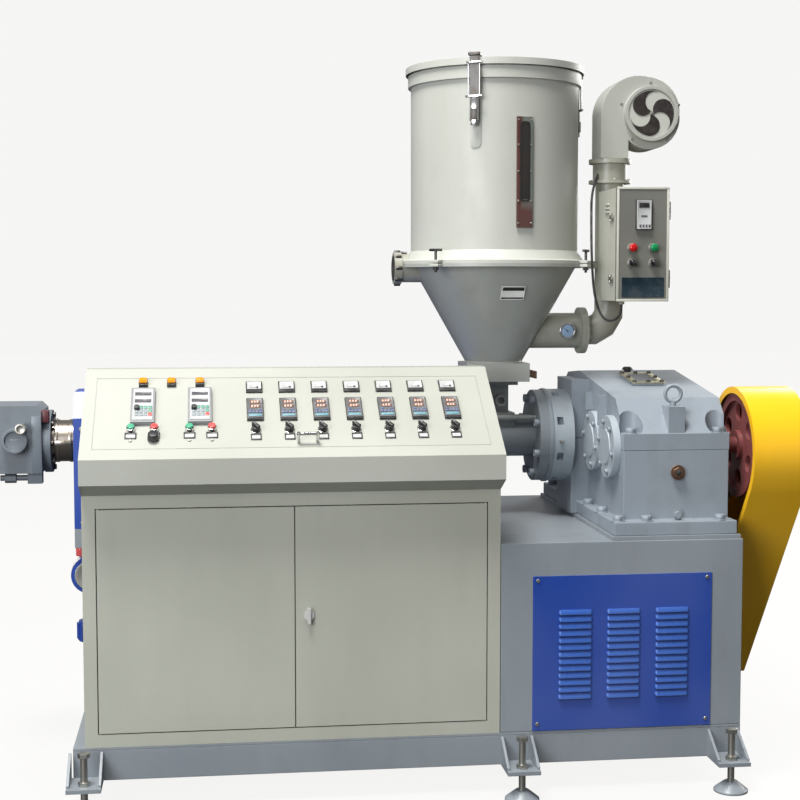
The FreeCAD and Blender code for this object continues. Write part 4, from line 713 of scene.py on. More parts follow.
def buildControllers():
    top = 0.008
    body = recessed("controllerFace", (-0.022, -0.043, 0), (0.022, 0.046, 0.002), 0.0025, 0.0007)
    copyOut("controllerFaces", body, deskRow("controller", top), instrumentGrey, "lid")
    window = joinPieces("window", [
        recessed("upperWindow", (-0.015, 0.020, 0.0012), (0.016, 0.036, 0.0024), 0.0012, 0.0006),
        recessed("lowerWindow", (-0.015, 0.001, 0.0012), (0.016, 0.016, 0.0024), 0.0012, 0.0006)])
    copyOut("controllerWindows", window, deskRow("controller", top), windowBrown, "lid")
    digits = []
    for row in (0.0285, 0.009):
        for x in (-0.0085, -0.0005, 0.0075):
            low, high = (x - 0.0025, row - 0.0045, 0.0018), (x + 0.0025, row + 0.0045, 0.0023)
            digits.append(recessed("digit", low, high, 0.0011, 0.0003))
    digit = joinPieces("controllerDigit", digits)
    copyOut("controllerDigits", digit, deskRow("controller", top), digitRed, "lid")
    keys = [softBox("key", (x - 0.004, -0.022, 0.0012), (x + 0.004, -0.013, 0.0038), 0.0012)
            for x in (-0.0145, -0.0045, 0.0055, 0.0155)]
    keys += [softBox("key", (x - 0.004, -0.0095, 0.0012), (x + 0.004, -0.0045, 0.003), 0.001)
             for x in (-0.013, 0.013)]
    copyOut("controllerKeys", joinPieces("controllerKey", keys), deskRow("controller", top),
            keyBlue, "lid")
    band = softBox("band", (-0.0185, -0.037, 0.001), (0.0185, -0.027, 0.0028), 0.0006)
    copyOut("controllerBands", band, deskRow("controller", top), bandTeal, "lid")


def buildSwitches():
    ring = startRound("switchRing", (0, 0, 0.0015), 0.0155, 0.003, sides=36)
    insetFaces(ring, topFace, 0.003, 0)
    copyOut("switchRings", softenEdges(ring, 0.0008), deskRow("switch", 0), brightChrome, "lid")
    lever = softBox("lever", (-0.005, -0.0145, 0.010), (0.005, 0.0145, 0.024), 0.002, 3)
    placeBy(lever, Matrix.Rotation(math.radians(38), 4, "Z"))
    copyOut("switchLevers", lever, deskRow("switch", 0), instrumentBlack, "lid")
    mark = softBox("mark", (-0.0009, 0.002, 0.0238), (0.0009, 0.0135, 0.0245), 0.0002, 1)
    placeBy(mark, Matrix.Rotation(math.radians(38), 4, "Z"))
    copyOut("switchMarks", mark, deskRow("switch", 0), dialWhite, "lid")
    holder = recessed("labelHolder", (-0.015, -0.0125, 0), (0.015, 0.0125, 0.003), 0.003, 0.001)
    copyOut("labelHolders", holder, deskRow("label", 0), instrumentBlack, "lid")
    strip = softBox("labelStrip", (-0.0118, -0.0085, 0.002), (0.0118, 0.0055, 0.0032), 0.0003, 1)
    copyOut("labelStrips", strip, deskRow("label", 0), dialWhite, "lid")


def buildKeypads():
    spotsHere = onDesk([(0.169, 0.225, 0.014), (0.330, 0.225, 0.014)])
    face = recessed("keypadFace", (-0.028, -0.070, 0), (0.028, 0.070, 0.0016), 0.0016, 0.0005)
    copyOut("keypadFaces", face, spotsHere, dialWhite, "lid")
    bars = [recessed("bar", (-0.023, y - 0.007, 0.001), (0.023, y + 0.007, 0.0026), 0.0016, 0.0006)
            for y in (0.046, 0.014)]
    copyOut("keypadBars", joinPieces("keypadBar", bars), spotsHere, displayBar, "lid")
    knob = startRound("knob", (-0.016, -0.022, 0.006), 0.0085, 0.012, sides=32, topRadius=0.0075)
    softenEdges(knob, 0.001, 3)
    copyOut("keypadKnobs", knob, spotsHere, instrumentBlack, "lid")
    pale = []
    green = []
    for row in range(3):
        for column in range(4):
            x = -0.0165 + 0.0125 * column
            y = -0.016 - 0.016 * row
            if (row, column) in ((0, 0), (2, 3)):  # the knob and the stop key sit there
                continue
            key = softBox("key", (x - 0.0052, y - 0.0062, 0.001), (x + 0.0052, y + 0.0062, 0.0034), 0.001)
            (green if column == 3 or row == 0 else pale).append(key)
    copyOut("keypadPaleKeys", joinPieces("paleKey", pale), spotsHere, keypadPale, "lid")
    copyOut("keypadGreenKeys", joinPieces("greenKey", green), spotsHere, keyMint, "lid")
    stop = softBox("stopKey", (0.0158, -0.0542, 0.001), (0.0262, -0.0418, 0.0034), 0.001)
    copyOut("keypadStopKeys", stop, spotsHere, redCap, "lid")


def buildLampsAndButtons():
    lens = softBox("lens", (-0.0115, -0.0105, 0), (0.0115, 0.0115, 0.006), 0.003, 4)
    insetFaces(lens, topFace, 0.004, 0.003)
    softenEdges(lens, 0.0015, 2)
    copyOut("lampLenses", lens, onDesk([(x, 0.334, 0.012) for x in (0.167, 0.248, 0.330)]),
            amberLens, "lid")
    cap = startRound("cap", (0, 0, 0.0035), 0.0105, 0.007, sides=36)
    softenEdges(cap, 0.0022, 4)
    greens = onDesk([(x, 0.127, 0.010) for x in (0.138, 0.301)])
    reds = onDesk([(x, 0.127, 0.010) for x in (0.203, 0.364)])
    twin = cap.copy()
    twin.data = cap.data.copy()
    bpy.context.scene.collection.objects.link(twin)
    copyOut("greenCaps", cap, greens, greenCap, "lid")
    copyOut("redCaps", twin, reds, redCap, "lid")
    places = onDesk([(x, 0.100, 0) for x in (0.138, 0.203, 0.301, 0.364)])
    holder = recessed("buttonHolder", (-0.0165, -0.013, 0), (0.0165, 0.013, 0.003), 0.003, 0.001)
    copyOut("buttonHolders", holder, places, instrumentBlack, "lid")
    strip = softBox("buttonStrip", (-0.013, -0.0095, 0.002), (0.013, 0.004, 0.0032), 0.0003, 1)
    copyOut("buttonStrips", strip, places, dialWhite, "lid")
    screws = onDesk([(x, 0.078, 0) for x in (0.138, 0.301, 0.364)])
    copyOut("deskScrews", panHead("deskScrew", 0.0055, 0.0035), screws, zincPlate, "lid")
    dialKnob = startRound("dialKnob", (0, 0, 0.010), 0.0165, 0.020, sides=40, topRadius=0.014)
    softenEdges(dialKnob, 0.002, 3)
    placeBy(dialKnob, deskTurn @ Matrix.Translation((0.201, 0.084, 0.004)))
    finishPiece(dialKnob, instrumentBlack, "lid")


buildGauges()
buildControllers()
buildSwitches()
buildKeypads()
buildLampsAndButtons()
print("control desk dressed")


# ---- drive base: pressed louvres and panel screws, front and back

def buildLouvres():
    louvre = {"half": 0.0500, "reach": 0.0075, "high": 0.0085, "low": -0.0050, "rows": 13,
              "columns": (1.4435, 1.588, 1.7345), "lowest": 0.2765, "pitch": 0.0208}
    half, reach = louvre["half"], louvre["reach"]
    slat = startBox("louvre", (-half, -reach, louvre["low"]), (half, 0, louvre["high"]))
    pickEdges(slat, lambda a, b: a.y < -0.005 and b.y < -0.005 and a.z > 0 and b.z > 0)
    bpy.ops.transform.translate(value=(0, reach * 0.55, 0))
    bpy.ops.object.mode_set(mode="OBJECT")
    bevelPicked(slat, lambda a, b: abs(a.x - b.x) < 0.001 and abs(a.x) > 0.04 and min(a.y, b.y) < -0.002,
                0.006, 4)
    softenEdges(slat, 0.0008, 2)
    # a dark strip under each louvre's lip: painted shade where the lip shades the slot below it
    shadeStrip = softBox("louvreShadeStrip", (-0.046, -0.0042, -0.0085), (0.046, 0.0004, -0.0046), 0.0008, 1)
    rows = [(x, louvre["lowest"] + louvre["pitch"] * row)
            for x in louvre["columns"] for row in range(louvre["rows"])]
    turnBack = Matrix.Rotation(math.pi, 4, "Z")
    places = [Matrix.Translation(at(x, -0.003, z)) for x, z in rows]
    places += [Matrix.Translation(at(x, 1.003, z)) @ turnBack for x, z in rows]
    # the slats are lighter than the panel around them: painted highlight
    copyOut("louvreSlats", slat, places, louvreHighlightBlue, angle=50)
    copyOut("louvreShadeStrips", shadeStrip, places, louvreShade)
    corners = [(x, z) for x in (1.332, 1.840) for z in (0.198, 0.622)]
    screwSpots = spots([at(x, -0.003, z) for x, z in corners], (0, -1, 0))
    screwSpots += spots([at(x, 1.003, z) for x, z in corners], (0, 1, 0))
    copyOut("panelScrews", panHead("panelScrew", 0.0065, 0.0035), screwSpots, zincPlate)


buildLouvres()
print("louvres made")


# ---- gearbox and coupling

def buildGearboxBolts():
    capScrew = capHead("capScrew", 0.013, 0.016)
    copyOut("flangeScrews", capScrew, ringSpots(at(1.433, 0.570, 0.992), 0.127, 8, (-1, 0, 0), 0.39),
            castingGrey)
    faces = ringSpots(at(1.579, 0.182, 0.992), 0.077, 6, (-1, 0, 0), 0.3)
    faces += ringSpots(at(1.579, 0.372, 0.992), 0.076, 6, (-1, 0, 0), 0.3)
    copyOut("coverBolts", hexHead("coverBolt", 0.0085, 0.0075), faces, castingGrey)
    caseSpots = spots([at(x, y, 1.040) for x in (1.629, 1.895) for y in (0.088, 0.902)], (0, 0, 1))
    caseSpots += spots([at(1.582, y, 0.785) for y in (0.045, 0.230, 0.400, 0.760, 0.900)], (0, 0, 1))
    caseSpots += spots([at(1.890, 0.037, 0.785), at(1.665, 0.037, 0.785)], (0, 0, 1))
    copyOut("caseBolts", hexHead("caseBolt", 0.016, 0.015), caseSpots, castingGrey)
    copyOut("sealBolts", hexHead("sealBolt", 0.007, 0.006),
            ringSpots(at(1.941, 0.182, 0.992), 0.056, 6, (1, 0, 0)),
            castingGrey)
    seam = startRound("couplingSeam", at(1.4715, 0.570, 0.992), 0.1525, 0.013, "X", 72)
    softenEdges(seam, 0.002, 3)
    finishPiece(seam, castingGrey)
    nipple = startRound("greaseNipple", (0, 0, 0.006), 0.006, 0.012, sides=6)
    extrudeFaces(nipple, topFace, (0, 0, 0.010), (0.55, 0.55, 1), (0, 0, 0.022))
    softenEdges(nipple, 0.0008)
    faceFront(nipple, at(1.498, 0.4203, 0.985))
    finishPiece(nipple, zincPlate)


def buildHatch():
    roofTurn = math.atan2(0.060, 0.440)
    hatchTurn = Matrix.Translation(at(1.708, 0.340, 1.1645)) @ Matrix.Rotation(roofTurn, 4, "X")
    frameRing = recessed("hatchFrame", (-0.004, -0.004, 0.008), (0.104, 0.164, 0.012), 0.022, 0.003)
    finishPiece(placeBy(frameRing, hatchTurn), hatchBrass)
    pane = softBox("hatchPane", (0.019, 0.019, 0.009), (0.081, 0.141, 0.0105), 0.0004, 1)
    finishPiece(placeBy(pane, hatchTurn), hatchShade)
    bolts = [(x, y) for x in (0.006, 0.094) for y in (0.008, 0.080, 0.152)] + [(0.050, 0.008), (0.050, 0.152)]
    boltSpots = [hatchTurn @ Matrix.Translation((x, y, 0.012)) for x, y in bolts]
    copyOut("hatchBolts", hexHead("hatchBolt", 0.0062, 0.0055), boltSpots, darkSteel)
    breather = startRound("breather", (0, 0, 0.005), 0.011, 0.010, sides=24)
    extrudeFaces(breather, topFace, (0, 0, 0.0005), (1.8, 1.8, 1), (0, 0, 0.0105))
    extrudeFaces(breather, topFace, (0, 0, 0.010), (0.7, 0.7, 1), (0, 0, 0.0205))
    softenEdges(breather, 0.003, 3)
    placeBy(breather, Matrix.Translation(at(1.752, 0.560, 1.193)))
    finishPiece(breather, darkSteel)
    plugRing = hexHead("glassHex", 0.017, 0.007)
    faceFront(plugRing, at(1.763, 0.048, 0.926))
    finishPiece(plugRing, rustySteel)
    eye = startRound("glassEye", at(1.763, 0.0393, 0.926), 0.008, 0.004, "Y", 28)
    finishPiece(softenEdges(eye, 0.0008), darkInside)
    drainHex = hexHead("drainHex", 0.0115, 0.008)
    faceFront(drainHex, at(1.763, 0.046, 0.801))
    finishPiece(drainHex, castingGrey)


buildGearboxBolts()
buildHatch()
print("gearbox dressed")


# ---- die and barrel

def buildDieDetails():
    sensorCentre = at(-0.1995, 0.460, 1.006)
    plug = startRound("sensorHex", (0, 0, 0.003), 0.013, 0.006, sides=6)
    faceFront(softenEdges(plug, 0.001), sensorCentre + Vector((0, -0.020, 0)))
    finishPiece(plug, copperTone)
    blade = softBox("sensorBlade", (-0.014, -0.008, 0.002), (0.014, 0, 0.006), 0.001)
    placeBy(blade, Matrix.Translation(sensorCentre + Vector((0, -0.0255, 0))))
    finishPiece(blade, dialWhite)
    ring = startRound("sensorRing", (0, 0, 0.003), 0.0385, 0.006, sides=64)
    insetFaces(ring, topFace, 0.0095, 0)
    pickWidest(ring)
    sinkPicked((0, 0, 1), 0.005, opened=True)
    softenEdges(ring, 0.0012, 3)
    faceFront(ring, sensorCentre + Vector((0, -0.0335, 0)))
    finishPiece(ring, dieGrey)
    upperCap = capHead("upperCap", 0.0165, 0.014)
    faceFront(upperCap, at(-0.178, 0.414, 1.044))
    finishPiece(upperCap, zincPlate)
    sidePlate = softBox("sidePlate", at(-0.152, 0.4585, 0.905), at(-0.1235, 0.4605, 1.078), 0.001)
    finishPiece(sidePlate, dieShade)
    corner = [at(-0.258, 0.460, z) for z in (0.925, 1.088)]
    copyOut("dieScrews", capHead("dieScrew", 0.009, 0.006), spots(corner, (0, -1, 0)),
            darkSteel)
    ends = ringSpots(at(-0.122, 0.570, 0.992), 0.082, 8, (1, 0, 0))
    copyOut("adapterBolts", hexHead("adapterBolt", 0.009, 0.008),
            [Matrix.Translation((0.025, 0, 0)) @ place for place in ends],
            darkSteel)
    block = softBox("terminalBlock", at(-0.128, 0.470, 1.058), at(-0.100, 0.500, 1.095), 0.003)
    finishPiece(block, maroonCap)


def buildBarrelDetails():
    cooler = {"places": (0.012, 0.6115, 1.113), "fins": 14}
    clamp = []
    for x in (-0.083, -0.040):
        band = startRound("strap", at(x, 0.570, 0.992), 0.0672, 0.012, "X", 72)
        clamp.append(softenEdges(band, 0.001))
    lug = softBox("strapLug", at(-0.088, 0.488, 0.984), at(-0.035, 0.506, 1.000), 0.002)
    finishPiece(joinPieces("bandStraps", clamp + [lug]), barrelSteel)
    screws = [(x, z) for x in (0.0, 0.24, 0.48, 0.72, 0.96, 1.17) for z in (0.752, 1.040)]
    places = spots([at(x, 0.430, z) for x, z in screws], (0, -1, 0))
    places += spots([at(x, 0.710, z) for x, z in screws], (0, 1, 0))
    copyOut("coverScrews", panHead("coverScrew", 0.007, 0.004), places, zincPlate)
    for x in cooler["places"]:
        band = startRound("coolerBand", at(x, 0.570, 0.570), 0.0600, 0.018, "Y", 64)
        cap = startRound("coolerRim", at(x, 0.5245, 0.570), 0.046, 0.004, "Y", 48)
        insetFaces(cap, facing((0, -1, 0)), 0.010, -0.002)
        finishPiece(joinPieces(f"coolerBand{round(x * 1000)}",
                               [softenEdges(band, 0.002), softenEdges(cap, 0.001)]),
                    zincPlate)
        fins = []
        for index in range(cooler["fins"]):
            fin = softBox("fin", (0.038, -0.0018, -0.026), (0.046, 0.0018, 0.026), 0.0006, 1)
            fins.append(placeBy(fin, Matrix.Rotation(2 * math.pi * index / cooler["fins"], 4, "Z")))
        finRing = joinPieces(f"coolerFins{round(x * 1000)}", fins)
        finishPiece(placeBy(finRing, Matrix.Translation(at(x, 0.570, 0.386))), louvreBlue)
    redCapPiece = startRound("coolerCap", at(-0.012, 0.510, 0.650), 0.016, 0.030, sides=32)
    finishPiece(softenEdges(redCapPiece, 0.004, 3), redCap)


buildDieDetails()
buildBarrelDetails()
print("die and barrel dressed")


# ---- hopper: pieces drawn with x pointing out from its axis

def hopperTurn(degrees):
    return Matrix.Translation(at(1.306, 0.570, 0)) @ Matrix.Rotation(math.radians(degrees), 4, "Z")


def buildHopperDetails():
    hopper = {"latches": (-113, 10, 130), "window": -81, "clamps": (-135, -35, 56, 150), "plate": -85}
    latchTurns = [hopperTurn(angle) for angle in hopper["latches"]]
    backing = startBox("latchBacking", (0.2675, -0.0175, 1.895), (0.2705, 0.0175, 2.062))
    bevelPicked(backing, lambda a, b: abs(a.x - b.x) > 0.001 and a.z < 1.9, 0.0165, 6)
    softenEdges(backing, 0.0008)
    copyOut("latchBackings", backing, latchTurns, hopperGrey)
    lever = softBox("latchLever", (0.2905, -0.010, 1.962), (0.2945, 0.010, 2.046), 0.0015)
    pin = startRound("latchPin", (0.2955, 0, 2.048), 0.0042, 0.052, "Y", 24)
    rods = [startRound("latchRod", (0.2940, y, 2.100), 0.0026, 0.104, "Z", 16) for y in (-0.0172, 0.0172)]
    eye = startRound("latchEye", (0.2955, 0, 2.150), 0.0042, 0.046, "Y", 24)
    link = joinPieces("latchLink", [lever, softenEdges(pin, 0.001), softenEdges(eye, 0.001)] + rods)
    copyOut("latchLinks", link, latchTurns, brightChrome)
    claw = softBox("latchClaw", (0.258, -0.0185, 2.1700), (0.2965, 0.0185, 2.1812), 0.003, 3)
    insetFaces(claw, topFace, 0.004, -0.001)
    grip = softBox("latchGrip", (0.2950, -0.0085, 1.978), (0.2985, 0.0085, 2.012), 0.001)
    copyOut("latchClaws", joinPieces("latchDark", [claw, grip]), latchTurns, darkSteel)

    window = hopperTurn(hopper["window"])
    pane = softBox("windowPane", (0.2722, -0.0115, 1.742), (0.2732, 0.0115, 1.968), 0.0002, 1)
    finishPiece(placeBy(pane, window), windowDark)
    rim = startBox("windowRim", (0.2762, -0.0165, 1.734), (0.2784, 0.0165, 1.976))
    bevelPicked(rim, lambda a, b: abs(a.x - b.x) > 0.001, 0.011, 5)
    pickWidest(rim, (1, 0, 0))
    bpy.ops.mesh.inset(thickness=0.0042)
    bpy.ops.object.mode_set(mode="OBJECT")
    pickWidest(rim, (1, 0, 0))
    sinkPicked((1, 0, 0), 0.0018, opened=True)
    finishPiece(placeBy(rim, window), darkSteel)
    screwPlaces = [window @ Matrix.Translation((0.2763, y, z)) @ faceTurn((1, 0, 0))
                   for y in (-0.0205, 0.0205) for z in (1.668, 1.735, 1.825, 1.905, 1.980)]
    copyOut("windowScrews", panHead("windowScrew", 0.0035, 0.002), screwPlaces, zincPlate)

    clampTurns = [hopperTurn(angle) for angle in hopper["clamps"]]
    lugs = [softBox("lug", (0.296, -0.016, low), (0.327, 0.016, high), 0.0015)
            for low, high in ((1.5355, 1.5450), (1.5470, 1.5565))]
    copyOut("clampLugs", joinPieces("clampLug", lugs), clampTurns, hopperGrey)
    stem = startRound("stem", (0.316, 0, 1.5525), 0.0042, 0.068, "Z", 20)
    bar = startRound("bar", (0.316, 0, 1.587), 0.0042, 0.046, "Y", 20)
    nut = placeBy(hexHead("nut", 0.009, 0.009), Matrix.Translation((0.316, 0, 1.5265)))
    copyOut("clampBolts", joinPieces("clampBolt", [softenEdges(stem, 0.0008), softenEdges(bar, 0.001), nut]),
            clampTurns,
            darkSteel)

    coneTilt = math.atan2(0.172, 0.305)
    plateTurn = hopperTurn(hopper["plate"]) @ Matrix.Translation((0.2185, 0, 1.455))
    plateTurn = plateTurn @ Matrix.Rotation(coneTilt, 4, "Y")
    low, high = (-0.0008, -0.038, -0.024), (0.0012, 0.038, 0.024)
    plate = recessed("namePlate", low, high, 0.0025, 0.0004, (1, 0, 0))
    finishPiece(placeBy(plate, plateTurn), plateSilver)
    bands = [softBox("plateBand", (0.0006, -0.035, low), (0.0016, 0.035, high), 0.0003, 1)
             for low, high in ((0.0085, 0.0205), (-0.0205, -0.0150))]
    finishPiece(placeBy(joinPieces("plateBands", bands), plateTurn), darkInside)
    rivet = startRound("rivet", (0.0016, 0, 0), 0.0022, 0.0016, "X", 16)
    rivets = [plateTurn @ Matrix.Translation((0, y, z)) for y in (-0.034, 0.034) for z in (-0.020, 0.020)]
    copyOut("plateRivets", softenEdges(rivet, 0.0005), rivets, zincPlate)
    neckBead = startRound("neckBead", at(1.306, 0.570, 1.2325), 0.0945, 0.007, "Z", 96)
    finishPiece(softenEdges(neckBead, 0.003, 4), hopperGrey)

    gauge = at(1.534, 0.4967, 1.333)
    dial = startRound("dialFace", gauge + Vector((0, -0.0006, 0)), 0.0195, 0.0014, "Y", 48)
    finishPiece(softenEdges(dial, 0.0003), dialBlue)
    bezel = startRound("dialBezel", (0, 0, 0.002), 0.0262, 0.005, sides=56)
    insetFaces(bezel, topFace, 0.006, 0)
    pickWidest(bezel)
    sinkPicked((0, 0, 1), 0.0042, opened=True)
    softenEdges(bezel, 0.0012, 3)
    finishPiece(faceFront(bezel, gauge), brightChrome)
    hand = softBox("dialHand", (-0.0007, -0.0026, -0.003), (0.0007, -0.0018, 0.015), 0.0003, 1)
    hand = joinPieces("dialHand", [hand, startRound("dialHub", (0, -0.0022, 0), 0.0022, 0.0018, "Y", 20)])
    placeBy(hand, Matrix.Translation(gauge) @ Matrix.Rotation(math.radians(-50), 4, "Y"))
    finishPiece(hand, instrumentBlack)

    knobs = ringSpots(at(0.991, 0.570, 1.534), 0.051, 8, (-1, 0, 0))
    knob = softenEdges(startRound("capKnob", (0, 0, 0), 0.006, 0.020, "Z", 20), 0.0015)
    copyOut("exhaustKnobs", knob, knobs, darkSteel)
    # a dark disc over the exhaust port's opening: painted shade inside the port
    portShadeDisc = startRound("exhaustShadeDisc", at(0.9785, 0.570, 1.534), 0.040, 0.003, "X", 48)
    insetFaces(portShadeDisc, facing((-1, 0, 0)), 0.006, -0.0012)
    finishPiece(softenEdges(portShadeDisc, 0.0006), darkInside)


buildHopperDetails()
print("hopper dressed")


# ---- dryer blower and its control box

def buildBlower():
    intake = {"radius": 0.033, "centre": 0.039, "sweep": 66, "start": 20, "steps": 9, "thick": 0.0016}
    eye = at(1.803, 0.4915, 2.028)
    # three dark petals stand for the intake grille's openings: painted shade
    petals = []
    for turn in (0, 1, 2):
        clearSelection()
        bpy.ops.mesh.primitive_circle_add(
            vertices=40, radius=intake["radius"], fill_type="NOTHING", location=(intake["centre"], 0, 0))
        petal = applyPlace(bpy.context.object)
        bpy.ops.object.mode_set(mode="EDIT")
        bpy.ops.mesh.select_mode(type="VERT")
        bpy.ops.mesh.select_all(action="DESELECT")
        bpy.ops.object.mode_set(mode="OBJECT")
        for point in petal.data.vertices:
            point.select = point.co.y < -0.0001
        bpy.ops.object.mode_set(mode="EDIT")
        bpy.ops.mesh.delete(type="VERT")
        bpy.ops.mesh.select_all(action="SELECT")
        bpy.ops.mesh.spin(
            steps=intake["steps"], angle=math.radians(intake["sweep"]), center=(0, 0, 0), axis=(0, 0, 1))
        bpy.ops.mesh.select_all(action="SELECT")
        bpy.ops.mesh.normals_make_consistent(inside=False)
        bpy.ops.object.mode_set(mode="OBJECT")
        thick = petal.modifiers.new("thick", "SOLIDIFY")
        thick.thickness = intake["thick"]
        bpy.ops.object.modifier_apply(modifier=thick.name)
        petals.append(placeBy(petal, Matrix.Rotation(math.radians(intake["start"] + 120 * turn), 4, "Z")))
    fan = faceFront(joinPieces("intakeShadePetals", petals), eye)
    finishPiece(fan, petalShade)
    hub = startRound("intakeHub", eye + Vector((0, -0.002, 0)), 0.0065, 0.005, "Y", 28)
    finishPiece(softenEdges(hub, 0.0012), zincPlate)
    face = ringSpots(at(1.803, 0.510, 2.028), 0.100, 5, (0, -1, 0), 1.57)
    copyOut("blowerScrews", panHead("blowerScrew", 0.005, 0.003), face, zincPlate)
    fins = []
    for index in range(20):
        fin = softBox("fin", (0.070, 0.012, -0.0018), (0.080, 0.112, 0.0018), 0.0006, 1)
        fins.append(placeBy(fin, Matrix.Rotation(2 * math.pi * index / 20, 4, "Y")))
    finRing = placeBy(joinPieces("motorFins", fins), Matrix.Translation(at(1.803, 0.630, 2.028)))
    finishPiece(finRing, hopperGrey)
    flangeBolts = ringSpots(at(1.603, 0.570, 1.333), 0.066, 6, (1, 0, 0), 0.26)
    copyOut("ductBolts", hexHead("ductBolt", 0.006, 0.005), flangeBolts, zincPlate)
    rimBolts = ringSpots(at(1.688, 0.570, 1.818), 0.0625, 6, (0, 0, 1), 0.5)
    copyOut("rimBolts", hexHead("rimBolt", 0.0045, 0.004), rimBolts, zincPlate)


def buildControlBox():
    left, right, front = 1.635, 1.801, 0.2857
    low, high = 1.429, 1.780
    lip = 0.0075
    edges = ((left, right, low, low + lip), (left, right, high - lip, high),
             (left, left + lip, low + lip, high - lip), (right - lip, right, low + lip, high - lip))
    bars = [softBox("lip", at(x0, front - 0.0022, z0), at(x1, front + 0.001, z1), 0.0008)
            for x0, x1, z0, z1 in edges]
    finishPiece(joinPieces("boxLip", bars), lipPale, "dryer_door")
    timer = recessed("timerFace", at(1.695, 0.2742, 1.651), at(1.741, 0.2757, 1.739), 0.0025, 0.0006,
                     (0, -1, 0))
    finishPiece(timer, dialWhite, "dryer_door")
    screen = softBox("timerScreen", at(1.702, 0.2732, 1.716), at(1.734, 0.2752, 1.731), 0.0006, 1)
    finishPiece(screen, instrumentBlack, "dryer_door")
    marks = [softBox("timerKey", at(1.7030 + step, 0.2728, 1.657), at(1.7090 + step, 0.2752, 1.665), 0.0008)
             for step in (0, 0.0095, 0.0190, 0.0285)]
    marks.append(softBox("timerLine", at(1.708, 0.2738, 1.688), at(1.728, 0.2752, 1.693), 0.0004, 1))
    finishPiece(joinPieces("timerKeys", marks), displayBar, "dryer_door")
    faceY = 0.2717
    lamps = (("redLamp", 1.683, lampRed, "red_plastic"), ("greenLamp", 1.750, lampGreen, "grey_plastic"))
    for name, x, material, slotName in lamps:
        lampPiece = startRound(name, (0, 0, 0.004), 0.0125, 0.008, sides=40)
        extrudeFaces(lampPiece, topFace, (0, 0, 0.003), (0.62, 0.62, 1), (0, 0, 0.011))
        softenEdges(lampPiece, 0.0014, 3)
        faceFront(lampPiece, at(x, faceY, 1.594))
        finishPiece(lampPiece, material, "dryer_door")
    rings = spots([at(x, 0.2857, z) for x in (1.683, 1.750) for z in (1.594, 1.548)], (0, -1, 0))
    ring = softenEdges(startRound("boxRing", (0, 0, 0.002), 0.0145, 0.004, sides=40), 0.001)
    copyOut("boxRings", ring, rings, zincPlate, "dryer_door")
    lever = softBox("boxLever", (-0.0048, -0.0135, 0), (0.0048, 0.0135, 0.011), 0.002, 3)
    placeBy(lever, Matrix.Rotation(math.radians(40), 4, "Z"))
    knobPlaces = spots([at(x, faceY, 1.548) for x in (1.683, 1.750)], (0, -1, 0))
    copyOut("boxLevers", lever, knobPlaces, instrumentBlack, "dryer_door")
    mark = softBox("boxMark", (-0.0009, 0.003, 0.0108), (0.0009, 0.0125, 0.0115), 0.0002, 1)
    placeBy(mark, Matrix.Rotation(math.radians(40), 4, "Z"))
    copyOut("boxMarks", mark, knobPlaces, dialWhite, "dryer_door")
    plate = recessed("boxPlate", at(1.6520, 0.2843, 1.4420), at(1.7860, 0.2857, 1.5030), 0.002, 0.0004,
                     (0, -1, 0))
    finishPiece(plate, plateBlue, "dryer_door")
    slats = [softBox("sideSlat", at(1.6325, 0.380, z), at(1.6375, 0.420, z + 0.006), 0.002, 3)
             for z in (1.728, 1.716, 1.704)]
    finishPiece(joinPieces("boxLouvres", slats), hopperGrey)
    latches = []
    for z in (1.690, 1.500):
        latches += [
            softBox("latchPlate", at(1.6340, 0.330, z - 0.012), at(1.6375, 0.372, z + 0.012), 0.0012),
            softBox("latchHasp", at(1.6290, 0.322, z - 0.006), at(1.6345, 0.350, z + 0.006), 0.0012),
            startRound("latchPin", at(1.6320, 0.352, z), 0.004, 0.022, "Z", 20)]
    finishPiece(joinPieces("boxLatches", latches), zincPlate)


buildBlower()
buildControlBox()
print("dryer dressed")


# ---- floor, room and lights

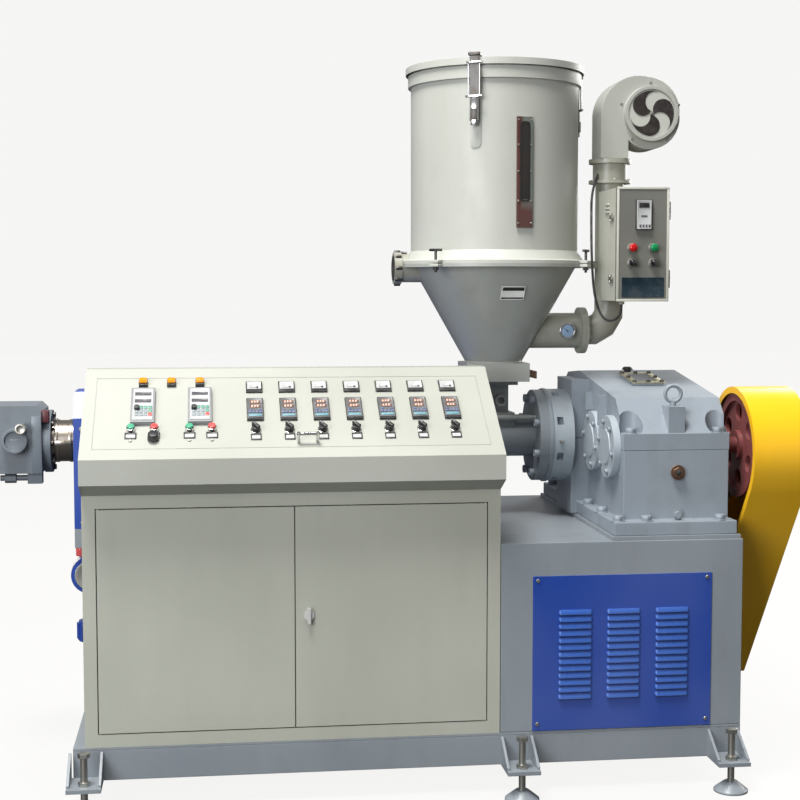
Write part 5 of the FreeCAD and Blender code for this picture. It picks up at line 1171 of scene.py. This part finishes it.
studio = {"backdrop": 0.96, "room": 0.34, "floorGlow": 0.93}
bpy.context.scene.view_settings.view_transform = "Standard"
clearSelection()
bpy.ops.mesh.primitive_plane_add(size=60, location=(0, 0, 0))
floor = bpy.context.object
floor.name = "studioFloor"
floorPaint = bpy.data.materials.new("studioFloor")
floorPaint.use_nodes = True
floorShader = floorPaint.node_tree.nodes["Principled BSDF"]
floorShader.inputs["Base Color"].default_value = (0.03, 0.03, 0.03, 1)
floorShader.inputs["Roughness"].default_value = 0.9
floorShader.inputs["Emission Color"].default_value = (0.96, 0.955, 0.94, 1)
floorGlow = floorPaint.node_tree.nodes.new("ShaderNodeLightPath")
floorPaint.node_tree.links.new(
    mathNode(floorPaint.node_tree, "MULTIPLY", floorGlow.outputs["Is Camera Ray"], studio["floorGlow"]),
    floorShader.inputs["Emission Strength"])
floor.data.materials.append(floorPaint)

world = bpy.data.worlds.new("studio")
bpy.context.scene.world = world
world.use_nodes = True
world.node_tree.nodes["Background"].inputs["Color"].default_value = (0.96, 0.955, 0.95, 1)
pathNode = world.node_tree.nodes.new("ShaderNodeLightPath")
# the backdrop reads as white paper while the room itself stays dim
backdrop = mathNode(world.node_tree, "MULTIPLY", pathNode.outputs["Is Camera Ray"],
                    studio["backdrop"] - studio["room"])
world.node_tree.links.new(mathNode(world.node_tree, "ADD", backdrop, studio["room"]),
                          world.node_tree.nodes["Background"].inputs["Strength"])

lights = {
    "key": {"place": (-1.3, -1.9, 6.9), "size": 2.2, "power": 590, "tone": (1.0, 0.985, 0.95)},
    "fill": {"place": (-3.6, -5.4, 2.3), "size": 3.0, "power": 250, "tone": (0.95, 0.97, 1.0)},
    "back": {"place": (4.4, 3.4, 3.4), "size": 3.0, "power": 240, "tone": (1.0, 0.99, 0.96)},
}
for lightName, light in lights.items():
    bpy.ops.object.light_add(type="AREA", location=light["place"])
    lamp = bpy.context.object
    lamp.name = lightName
    lamp.data.size = light["size"]
    lamp.data.energy = light["power"]
    lamp.data.color = light["tone"]
    aim = Vector((0, 0, 1.0)) - Vector(light["place"])
    lamp.rotation_euler = aim.to_track_quat("-Z", "Y").to_euler()
print("room and lights set")
